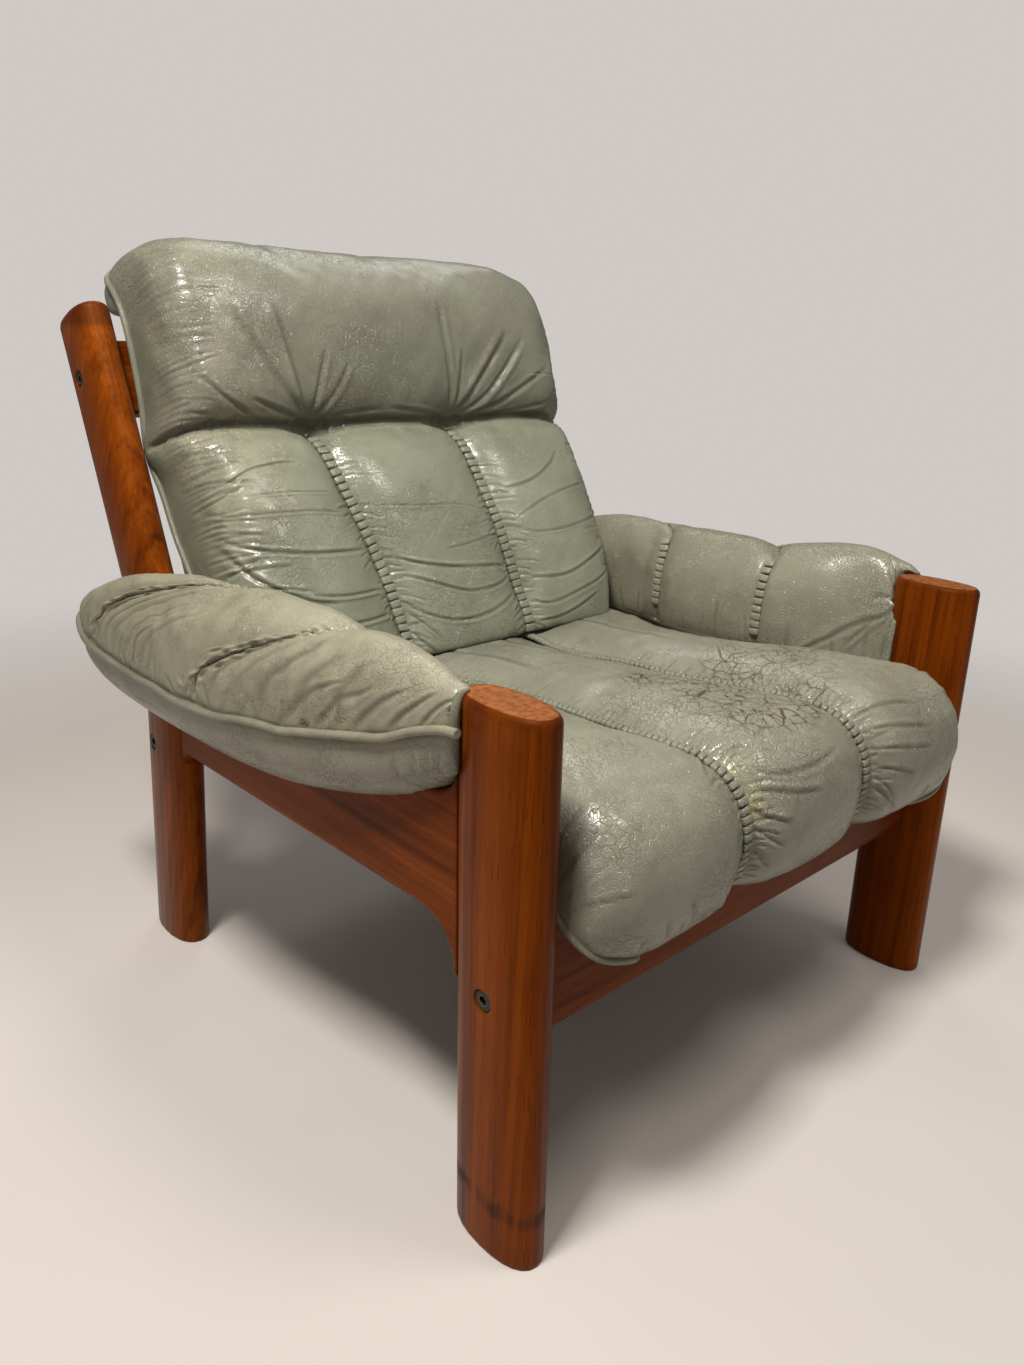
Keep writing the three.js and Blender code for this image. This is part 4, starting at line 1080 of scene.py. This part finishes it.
seatCreases = [
    ([(-89, 39), (-70, 53), (-13, 59), (40, 52)], 1.5, 2.1),
    ([(-96, 56), (-59, 71), (-9, 80)], 1.5, 2.1),
    ([(-108, 68), (-92, 84), (-62, 96)], 1.7, 2.1),
    ([(-107, 90), (-90, 105), (-68, 121)], 1.7, 2.4),
    ([(-106, 112), (-92, 132), (-80, 148)], 2.2, 2.9),
    ([(-115, 38), (-126, 30), (-165, 40)], 1.2, 1.9),
    ([(-101, -6), (-136, 18), (-160, 34)], 1.4, 2.4),
    ([(122, 46), (180, 60), (229, 70)], 1.4, 1.8),
    ([(122, 68), (174, 80), (225, 90)], 1.4, 1.8),
    ([(122, 88), (158, 100), (190, 112)], 1.5, 1.9),
    ([(120, 112), (150, 136), (178, 170)], 2.2, 2.7),
    ([(122, 100), (146, 120), (166, 150)], 1.7, 2.2),
    ([(118, 26), (202, 38), (228, 46)], 1.2, 1.8),
    ([(-251, 131), (-242, 150), (-238, 172)], 1.9, 2.7),
    ([(-222, 150), (-216, 172)], 1.7, 2.4),
    ([(-276, 144), (-280, 172)], 1.4, 2.4),
    ([(-220, 119), (-204, 150), (-196, 172)], 1.5, 3.2),
    ([(-150, 150), (-146, 176)], 1.7, 2.7),
    ([(-30, 150), (-36, 176)], 1.5, 2.7),
    ([(30, 146), (34, 176)], 1.5, 2.7),
    ([(240, 146), (236, 176)], 1.5, 2.7),
    ([(-100, -62), (-132, -25), (-161, -5)], 0.8, 1.6),
    ([(-334, 10), (-318, 14), (-298, 12)], 1.0, 1.8),
    ([(-334, 34), (-322, 38), (-304, 34)], 1.2, 1.8),
    ([(-334, 56), (-322, 60), (-300, 56)], 0.9, 1.8),
    ([(-334, 76), (-320, 84), (-296, 90)], 1.0, 1.6),
    ([(334, 10), (312, 18), (280, 12)], 1.5, 2.4),
    ([(334, 44), (312, 52), (282, 44)], 1.5, 2.4),
    ([(-300, -520), (-250, -430), (-236, -300), (-230, -180)], 1.0, 4.0),
    ([(-60, -540), (-30, -420), (-44, -300)], 1.2, 4.8),
    ([(60, -540), (46, -430), (58, -300), (52, -210)], 1.2, 4.8),
    ([(200, -520), (214, -400), (196, -260)], 1.2, 4.8),
    ([(-90, -182), (-27, -164), (-45, -104)], 0.5, 1.1),
    ([(89, -191), (52, -121), (4, -47), (-31, 4)], 0.6, 1.1),
    ([(42, -129), (90, -147), (100, -124)], 0.5, 1.1),
    ([(-31, 4), (23, -14), (100, -60)], 0.6, 1.1),
    ([(-82, -6), (-61, 5), (16, -20)], 0.5, 1.1),
    ([(130, -200), (190, -150), (250, -60)], 0.5, 1.1),
    ([(128, -90), (190, -60), (240, 20)], 0.5, 1.1),
]

seatCushion = copyNode("seat_cushion", "seatCushion")
remesh(seatCushion, seatLook["voxel"])
points, normals, x, run, facing, across = readSeat()
held = 1 - rise(-0.2, 0.25, facing)
for side in (-1, 1):
    held = np.maximum(held, 1 - rise(0.01, 0.04, np.abs(across - side / 3)))
for low, high, value in ((0.96, 0.995, np.abs(across)), (0.12, 0.18, points[:, 1]), (0.165, 0.18, run)):
    held = np.maximum(held, rise(low, high, value))
stuff(seatCushion, held, seatLook)
print("seat cushion stuffed:", len(seatCushion.data.vertices), "points")
soften(seatCushion)
points, normals, x, run, facing, across = readSeat()
nearSeam = np.abs(np.abs(across) - 1 / 3) * seatLook["halfWidth"]
refine(seatCushion, (facing > 0.1) & (run > -0.34) & (nearSeam < 0.042))
points, normals, x, run, facing, across = readSeat()
front = rise(-0.05, 0.3, facing)
seatFlat = np.c_[across * seatLook["halfWidth"], run]
creases = list(seatCreases)
for side, seed in ((-1, 41), (1, 42)):
    seamRun = lambda _, side=side: side * seatLook["seamPlace"]
    creases += puckers(seamRun, 7, (-60, 170), 0.25, seed, 9.6, 0.95)
    creases += puckers(seamRun, 7, (-420, -60), 0.1, seed + 5, 12.5, 0.6)
height, shadow = pressCreases(seatFlat, creases, 43)
offSeam = (np.abs(across) - 1 / 3) * seatHalf(points[:, 1])
groove = bell(offSeam, seatLook["grooveWidth"])
rear = rise(-0.5, -0.42, run)
valley = bell(offSeam, seatLook["valleyWidth"]) * (0.05 + 0.55 * rear + 0.4 * rise(-0.4, -0.05, run))
height -= seatLook["grooveDepth"] * groove * (0.3 + 0.7 * rear) + seatLook["valleyDepth"] * valley
shadow = np.maximum(shadow * 0.9, groove * 0.5)
broad = waves(points, 44, 0.11) * 0.0013 + waves(points, 45, 0.03) * 0.0003
raised = 0.012 * rise(0.72, 0.93, np.abs(across)) * rise(-0.1, 0.05, points[:, 1])
raised += 0.006 * rise(0.05, 0.13, points[:, 1])
points[:, 2] += raised * rise(0.1, 0.5, normals[:, 2])
forward = seatLook["corner"][0] - points[:, 1]
under = 0.37 - np.clip(forward, 0, 0.09) - points[:, 2]  # the side seam runs down to the corner of the nose
tucked = noseTuck(points[:, 2]) * rise(-0.05, 0.0, forward)
tucked = np.maximum(tucked, 0.05 * rise(0.0, 0.03, under) * rise(-0.03, 0.0, forward))
tucked *= rise(0.6, 1.0, np.abs(across))
points[:, 0] -= np.sign(points[:, 0]) * tucked
writePoints(seatCushion, points + normals * ((height + broad) * front)[:, None])
setMark(seatCushion, "crease", shadow * front)
middle = bell(x - 0.03, 0.1, 4) * rise(-0.24, -0.15, run) * (1 - rise(0.0, 0.045, run))
right = bell(x - 0.19, 0.09, 4) * rise(-0.28, -0.18, run) * (1 - rise(-0.03, 0.04, run)) * 0.5
left = bell(x + 0.2, 0.05) * rise(-0.1, -0.02, run) * (1 - rise(0.0, 0.05, run)) * 0.3
patchy = 0.75 + 0.35 * waves(points, 46, 0.08)
setMark(seatCushion, "crackle", (middle + right + left) * patchy * front)
beside = bell(offSeam, 0.016)
yellow = beside * rise(-0.04, 0.02, run) * (1 - rise(0.06, 0.1, run)) * (across < 0)
setMark(seatCushion, "yellow", yellow * (0.6 + 0.5 * waves(points, 47, 0.03)) * front)
worn = bell(run + 0.06, 0.16) * 0.5 + beside * 0.4
setMark(seatCushion, "wearAndPaintedLight", worn * (0.6 + 0.4 * waves(points, 48, 0.12)) * front)
finishPiece(seatCushion, seatLeather, ["seat_cushion"])
seatSurface = surfaceOf(seatCushion)
print("seat cushion creased")

seatBead = {
    "across": 0.0135, "long": 0.0082, "high": 0.0066, "pitch": 0.0083, "lift": 0.0038, "skew": 0.5, "seed": 51,
}
seatSeams = []
for side in (-1, 1):
    shots = []
    for y in np.linspace(0.12, seatLook["corner"][0], 70):
        shots.append((Vector((side * float(seatHalf(y)) / 3, y, 0.7)), Vector((0, 0, 1)), 0.5, 0.004))
    middle = Vector((side * seatLook["halfWidth"] / 3, *seatLook["corner"]))
    for turn in np.linspace(0.05, math.pi * 0.58, 34):
        out = Vector((0, -math.sin(turn), math.cos(turn)))
        shots.append((middle + out * 0.25, out, 0.22, 0))
    seatSeams.append(castSeam(seatSurface, shots))
laceSeam("seatLacing", seatSeams, seatBead, seatLeather)
print("seat cushion laced")


# Arm pads. Their pattern plane is the run from front to rear and the way round from inside to outside
armLook = {
    "voxel": 0.0045,
    "pressure": 3.0,
    "slack": 0.004,
    "cap": 0.006,
    "length": 0.65,
    "round": 0.24,
    "front": -0.2958,
    "inner": [-0.2958, -0.105, 0.085, 0.268],
    "outer": [-0.2958, 0.110, 0.384, 0.456],
    "piping": [0.512, 0.453, 0.423, 0.420, 0.424, 0.438, 0.448],
    "crown": [0.538, 0.555, 0.551, 0.550, 0.549, 0.539, 0.512],
    "shoulder": 0.446,
}
armSeams = (1 / 3, 2 / 3)
armBead = {"across": 0.0145, "long": 0.0097, "high": 0.0062, "pitch": 0.0099, "lift": 0.0026, "skew": 0.0}


def lineAt(values, share):
    # a smooth line through values at equal shares
    values = np.asarray(values, float)
    spot = np.clip(share, 0, 1) * (len(values) - 1)
    index = np.minimum(spot.astype(int), len(values) - 1)
    weight = spot - index
    last = len(values) - 1
    a, b = values[np.maximum(index - 1, 0)], values[index]
    c, d = values[np.minimum(index + 1, last)], values[np.minimum(index + 2, last)]
    first, second = (c - a) / 2, (d - b) / 2
    cubic = (2 * b - 2 * c + first + second) * weight**3
    return cubic + (-3 * b + 3 * c - 2 * first - second) * weight**2 + first * weight + b


def armOuterAt(share):
    over = 0.008 + 0.040 * rise(0, 1 / 3, share)
    return 0.390 + over + (0.034 - over) * rise(2 / 3, 1, share)


def armSection(share):
    innerY, outerY = lineAt(armLook["inner"], share), lineAt(armLook["outer"], share)
    return innerY, outerY, padInnerAt(innerY + rowShift), armOuterAt(share), 4.5 - 2.5 * share


def sectionAt(share):
    # the section at a single share, as plain numbers
    return [float(part[0]) for part in armSection(np.array([share]))]


def armPlace(points):
    # share from the front end to the rear end, and share from the inner to the outer side
    y, x = points[:, 1] - rowShift, np.abs(points[:, 0])
    low, high = np.zeros(len(points)), np.ones(len(points))
    for _ in range(22):
        share = (low + high) / 2
        innerY, outerY, innerX, outerX, fan = armSection(share)
        out = np.clip((x - innerX) / (outerX - innerX), 0, 1)
        there = innerY + (outerY - innerY) * out**fan
        low = np.where(there < y, share, low)
        high = np.where(there < y, high, share)
    return share, out


def armRound(points, share, out):
    # 0 at the inner shoulder, 1 at the piping, under 0 and over 1 on the skirt and the band
    piping = lineAt(armLook["piping"], share)
    base = armLook["shoulder"] + (piping - armLook["shoulder"]) * out
    high = lineAt(armLook["crown"], share) - (armLook["shoulder"] + piping) / 2
    turn = 1 - np.arctan2(np.maximum(points[:, 2] - base, 0) / high, 2 * out - 1) / math.pi
    below = (base - points[:, 2]) / armLook["round"]
    return np.where(below > 0, np.where(out > 0.5, 1 + below, -below), turn)


def armCreases(side):
    chance = np.random.default_rng(60 + side)
    length, around = armLook["length"] * 1000, armLook["round"] * 1000
    made = []

    def crease(path, depth, width):
        made.append(([(run * length, turn * around) for run, turn in path], depth, width))

    for place in np.arange(0.2, 0.97, 0.024):  # pinches that run in from the piping
        reach = chance.uniform(0.04, 0.12) * (1.8 if chance.random() < 0.25 else 1)
        slant = chance.uniform(-0.008, 0.03)
        path = [(place, 0.992), (place + slant * 0.3, 0.992 - reach * 0.5), (place + slant, 0.992 - reach)]
        crease(path, chance.uniform(0.4, 1.2), chance.uniform(1.5, 2.6))
    for seam in armSeams:  # soft arcs in front of each seam
        for place in (0.028, 0.062, 0.1, 0.145, 0.19):
            start = seam - place + chance.uniform(-0.006, 0.006)
            path = [(start - 0.01, 0.97), (start, 0.82), (start + 0.02, 0.68), (start + 0.045, 0.58)]
            crease(path[: 4 if place < 0.12 else 3], chance.uniform(0.7, 1.3), chance.uniform(3.0, 4.4))
    for place in np.arange(0.1, 0.95, 0.05):  # soft creases on the inner side
        reach = chance.uniform(0.12, 0.3)
        path = [(place, -0.2), (place + chance.uniform(-0.02, 0.02), reach - 0.2)]
        crease(path, chance.uniform(0.4, 0.9), chance.uniform(2.0, 3.2))
    legTop = 0.31  # the way round at which creases fan out of the top of the front leg
    for run, turn in ((0.06, 0.1), (0.14, -0.05), (0.26, -0.2), (0.05, -0.1), (0.1, 0.2), (0.08, 0.36), (0.1, 0.5)):
        first, middle = (legTop + (turn - legTop) * share for share in (0.22, 0.5))
        path = [(0.022, first), (run * 0.5 + 0.01, middle), (run, turn)]
        crease(path, chance.uniform(1.1, 1.8), chance.uniform(2.0, 3.0))
    for place in (0.2, 0.165, 0.125, 0.085, 0.05):  # deep ones that lean towards the front leg
        path = [(place, 0.985), (place - 0.015, 0.91), (place - 0.045, 0.8)]
        crease(path, chance.uniform(1.3, 2.0), chance.uniform(2.4, 3.4))
    for place in (0.0, 0.018, 0.034, 0.052, 0.075):  # diagonal creases of the band by the front leg
        path = [(place + 0.07, 1.34), (place + 0.035, 1.2), (place + 0.004, 1.07)]
        crease(path, chance.uniform(0.8, 1.3), 2.4)
    return made


def readPad(pad):
    points, normals = readPoints(pad), readNormals(pad)
    share, out = armPlace(points)
    return points, normals, share, armRound(points, share, out)


def stuffPad(pad, side):
    points, normals, share, turn = readPad(pad)
    held = 1 - rise(-0.3, 0.2, normals[:, 2] + np.where(turn > 1, 0.5, 0) + np.where(turn < 0, 0.2, 0))
    held = np.maximum(held, 1 - rise(0.006, 0.02, np.abs(turn - 1) * armLook["round"]))
    for seam in armSeams:
        held = np.maximum(held, (1 - rise(0.004, 0.014, np.abs(share - seam) * armLook["length"])) * (turn < 1))
    held = np.maximum(held, 1 - rise(0.03, 0.07, share))
    held = np.maximum(held, rise(0.93, 0.98, share))
    inward = np.sign(points[:, 0]) * normals[:, 0] < -0.3
    held = np.maximum(held, np.where(inward & (turn < 0.05), 0.8, 0))
    stuff(pad, held, armLook)
    soften(pad)
    points, normals, share, turn = readPad(pad)
    nearSeam = np.minimum(*(np.abs(share - seam) for seam in armSeams)) * armLook["length"]
    tearing = (nearSeam < 0.02) & (turn > 0.3) & (turn < 1.02)
    refine(pad, tearing | ((turn > 0.74) & (turn < 1.02) & (side < 0)))


def pressPad(pad, side):
    # creases and torn seams, and the marks that the leather reads
    left = side < 0
    points, normals, share, turn = readPad(pad)
    flat = np.c_[share * armLook["length"], turn * armLook["round"]]
    height, shadow = pressCreases(flat, armCreases(side), 70 + side)
    wander = waves(flat, 71, 0.02) * 0.0035
    rough = 0.55 + 0.8 * waves(flat, 72, 0.009)
    tearDepth, lipHeight = (0.0045, 0.0026) if left else (0.0025, 0.001)
    seam, crack, ragged = np.zeros((3, len(points)))
    for place, dip in zip(armSeams, (0.003, 0.0018)):
        off = (share - place) * armLook["length"]
        laced = bell(off, 0.008) * (1 - rise(0.34, 0.42, turn))
        along = rise(0.36, 0.44, turn) * (1 - rise(0.94, 0.99, turn))
        torn = bell(off + wander, 0.0024) * along
        lips = bell(np.abs(off + wander) - 0.0075, 0.0035) * along
        height += -0.004 * laced - tearDepth * torn + lipHeight * lips * rough
        height -= dip * bell(off, 0.018) * (turn < 1)
        ragged = np.maximum(ragged, lips * np.clip(rough, 0, 1))
        seam = np.maximum(seam, np.maximum(laced * 0.6, torn))
        crack = np.maximum(crack, bell(off + wander, 0.006) * along)
    besidePiping = bell((turn - 1) * armLook["round"], 0.0045)
    height -= 0.0016 * besidePiping
    exposed = np.where((normals[:, 2] > -0.35) & (share > 0.012), 1.0, 0.0)
    broad = waves(points, 73 + side, 0.07) * 0.001
    if not left:  # the right pad stands fuller behind its leg
        full = bell(share - 0.13, 0.11) * rise(0.1, 0.4, turn) * (1 - rise(0.85, 1.05, turn))
        points[:, 2] += 0.013 * full * rise(0.0, 0.04, share)
    writePoints(pad, points + normals * ((height + broad * (turn < 1.2)) * exposed)[:, None])
    shadow = np.maximum(shadow * 0.8, np.maximum(seam, besidePiping * 0.5))
    if left:  # a small worn-through hole above the piping
        hole = np.linalg.norm(flat - np.array([0.175 * armLook["length"], 0.965 * armLook["round"]]), axis=1)
        crack = np.maximum(crack, bell(hole, 0.0025) * 2)
        shadow = np.maximum(shadow, bell(hole, 0.003) * 2)
    # the front end by the leg is darkened too, as painted shade
    setMark(pad, "crease", np.maximum(shadow, (1 - rise(0.0, 0.02, share)) * 0.9))
    flaking = bell(turn - 0.93, 0.045) * rise(0.1, 0.14, share) * (1 - rise(0.24, 0.32, share))
    dry = bell(turn - 0.42, 0.2) * rise(0.08, 0.2, share) * (1 - rise(0.58, 0.7, share))
    setMark(pad, "crackle", crack * 0.75 + (flaking * 0.4 if left else dry * 0.34))
    # painted shade on the band under the piping; the right pad is darker over its top too
    setMark(pad, "shadeAndSoil", 0.55 * rise(1.01, 1.1, turn) + (0 if left else 0.4) * (turn < 1.01))
    # paler wear along the piping; the broad paler top, strongest on the left pad, is partly wear and partly painted
    # light
    worn = bell(turn - 0.86, 0.14) * (0.25 + 0.75 * (1 - rise(0.15, 0.4, share)))
    worn += bell(turn - 0.6, 0.4) * (0.85 if left else 0.2) + ragged
    setMark(pad, "wearAndPaintedLight", worn * exposed)


def lacePad(surface, side, word):
    seams = []
    for place in armSeams:
        innerY, outerY, innerX, outerX, fan = sectionAt(place)
        shots = []
        for angle in np.linspace(-0.42, 1.12, 30):
            out = (1 - math.cos(max(angle, 0))) / 2
            y = innerY + (outerY - innerY) * out**fan + rowShift
            way = Vector((-side * math.cos(angle), 0, math.sin(angle)))
            shots.append((Vector((side * (innerX + outerX) / 2, y, 0.452)) + way * 0.3, way, 0.3, 0))
        seams.append(castSeam(surface, shots))
    laceSeam(word + "ArmLacing", seams, {**armBead, "seed": 81 + side}, armLeather)


def pipePad(surface, side, word):
    edge = []
    for share in np.linspace(0.0, 1.0, 60):
        innerY, outerY, innerX, outerX, fan = sectionAt(share)
        edge.append((side * (outerX + 0.01), outerY + rowShift, lineAt(armLook["piping"], np.array([share]))[0]))
    for out in np.linspace(0.97, 0.06, 24):  # round the rear end to the inner side
        y = innerY + (outerY - innerY) * out**fan + rowShift + 0.01
        z = armLook["shoulder"] + (armLook["piping"][-1] - armLook["shoulder"]) * out
        edge.append((side * (innerX + (outerX - innerX) * out), y, z))
    cord = snapPath(edge, surface, 0.003)
    atLeg = (cord[0][0] - side * 0.001, armLook["front"] + rowShift - 0.008, cord[0][2] + 0.001)
    piping = makePiping(word + "ArmPiping", [np.vstack([atLeg, cord])], 0.0042, pipingLeather)
    setMark(piping, "wearAndPaintedLight", 1 - rise(-0.2, 0.05, readPoints(piping)[:, 1]))


for side, word in ((-1, "left"), (1, "right")):
    pad = copyNode(word + "_arm_pad", word + "ArmPad")
    remesh(pad, armLook["voxel"])
    stuffPad(pad, side)
    pressPad(pad, side)
    finishPiece(pad, armLeather, [word + "_arm_pad"])
    padSurface = surfaceOf(pad)
    lacePad(padSurface, side, word)
    pipePad(padSurface, side, word)
    print(word, "arm pad sewn")


# Piping up both sides of the back cushion and over its top, along the lower edges of the seat and down its nose
backEdge = [  # run up the posts and the way forward of them, from the bottom to the top
    (0.0, 0.068), (0.06, 0.062), (0.127, 0.050), (0.166, 0.034), (0.215, 0.024), (0.269, 0.018), (0.321, 0.020),
    (0.370, 0.028), (0.419, 0.037), (0.451, 0.037), (0.484, 0.034), (0.509, 0.020), (0.529, -0.003),
]
seatCord, backCord = 0.0038, 0.0043  # half their thickness
cordLift = 0.0018
loop = [backPoint(-0.33, along, forward) for along, forward in backEdge]
for x in np.linspace(-0.31, 0.31, 30):
    corner = max(0, (abs(x) - 0.2) / 0.13) ** 2.2 * (0.03 if x < 0 else 0.09)
    loop.append(backPoint(x, 0.556 - corner, 0.0))
for along, forward in reversed(backEdge):
    lowered = min(along, 0.29) + max(along - 0.29, 0) * 0.66
    loop.append(backPoint(0.33, lowered, forward))
makePiping("backPiping", [snapPath(loop, backSurface, cordLift)], backCord, pipingLeather)
noseY, noseDepth = seatLook["corner"][0], 0.088
seatPaths = []
for side in (-1, 1):
    seatPaths.append([(side * (float(seatHalf(y)) + 0.004), y, 0.34) for y in np.linspace(0.1, noseY, 24)])
    path = []
    for ahead in np.linspace(-0.01, noseDepth, 16):  # down the side seam to the lower corner of the nose
        z = 0.371 - max(0, ahead)
        path.append((side * (padSide["inner"] - float(noseTuck(z))), noseY - ahead, z))
    path += [(side * x, noseY - noseDepth, z) for x, z in ((0.298, 0.279), (0.288, 0.274), (0.276, 0.27))]
    path += [(side * (0.27 - back * 0.4), noseY - 0.08 + back, 0.262) for back in (0.012, 0.024, 0.036)]
    seatPaths.append(path)
seatCords = [snapPath(path, seatSurface, cordLift) for path in seatPaths]
makePiping("seatPiping", seatCords, seatCord, pipingLeather)
print("piping laid")


# Floor, lamps, sky and camera
roomTone = (0.62, 0.585, 0.56, 1)
lampAim = (0, 0, 0.45)
clearSelection()
bpy.ops.mesh.primitive_plane_add(size=60, location=(0, 0, 0))
floor = bpy.context.object
floor.name = "paleFloor"
floorPaint, tree, shader, place = newMaterial("palePaint")
paint = blendColours(tree, noise(tree, place, 1.6, 4.0), (0.555, 0.508, 0.468, 1), (0.62, 0.57, 0.53, 1))
plug(tree, paint, shader.inputs["Base Color"])
shader.inputs["Roughness"].default_value = 0.7
# what lies outside the lamps' reach looks as pale to the camera as the floor under the chair
outward = newNode(tree, "ShaderNodeVectorMath", operation="LENGTH")
tree.links.new(place, outward.inputs[0])
fading = between(tree, outward.outputs["Value"], 0.95, 2.3)
seenPart = times(tree, newNode(tree, "ShaderNodeLightPath").outputs["Is Camera Ray"], fading)
glow = newNode(tree, "ShaderNodeEmission")
glow.inputs["Color"].default_value = roomTone
mixed = newNode(tree, "ShaderNodeMixShader")
plugAll(tree, {0: seenPart, 1: shader.outputs[0], 2: glow.outputs[0]}, mixed.inputs)
tree.links.new(mixed.outputs[0], tree.nodes["Material Output"].inputs["Surface"])
floor.data.materials.append(floorPaint)
floor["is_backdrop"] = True

for lamp in lamps:
    light = bpy.data.lights.new(lamp["name"], "AREA")
    light.shape = "SQUARE"
    light.size = lamp["size"]
    light.energy = lamp["watts"]
    light.color = lamp["tint"]
    holder = bpy.data.objects.new(lamp["name"], light)
    holder.location = lamp["place"]
    holder.rotation_euler = (Vector(lampAim) - Vector(lamp["place"])).to_track_quat("-Z", "Y").to_euler()
    bpy.context.scene.collection.objects.link(holder)

sky = bpy.data.worlds.new("paleRoom")
sky.use_nodes = True
bpy.context.scene.world = sky
tree = sky.node_tree
tree.nodes.clear()
paths = newNode(tree, "ShaderNodeLightPath").outputs
ambient = newNode(tree, "ShaderNodeBackground")
ambient.inputs["Color"].default_value = roomTone
plug(tree, timesPlus(tree, paths["Is Camera Ray"], 0.68, 0.32), ambient.inputs["Strength"])
output = newNode(tree, "ShaderNodeOutputWorld")
tree.links.new(ambient.outputs[0], output.inputs[0])

eye = bpy.data.objects.new("viewpoint", bpy.data.cameras.new("viewpoint"))
eye.data.sensor_width = 36.0
eye.data.lens = viewpoint["lens"]
turnTo = Matrix.Rotation(-math.radians(viewpoint["yaw"]), 4, "Z")
turnTo @= Matrix.Rotation(math.radians(90 - viewpoint["pitch"]), 4, "X")
turnTo @= Matrix.Rotation(math.radians(viewpoint["roll"]), 4, "Z")
eye.matrix_world = Matrix.Translation(viewpoint["place"]) @ turnTo
bpy.context.scene.collection.objects.link(eye)
bpy.context.scene.camera = eye
bpy.context.scene.view_settings.view_transform = "Standard"
print("stage set")

shown = [piece.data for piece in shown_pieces() if piece.type == "MESH"]
faces = sum(len(mesh.loops) - 2 * len(mesh.polygons) for mesh in shown)
print("triangles shown:", faces)
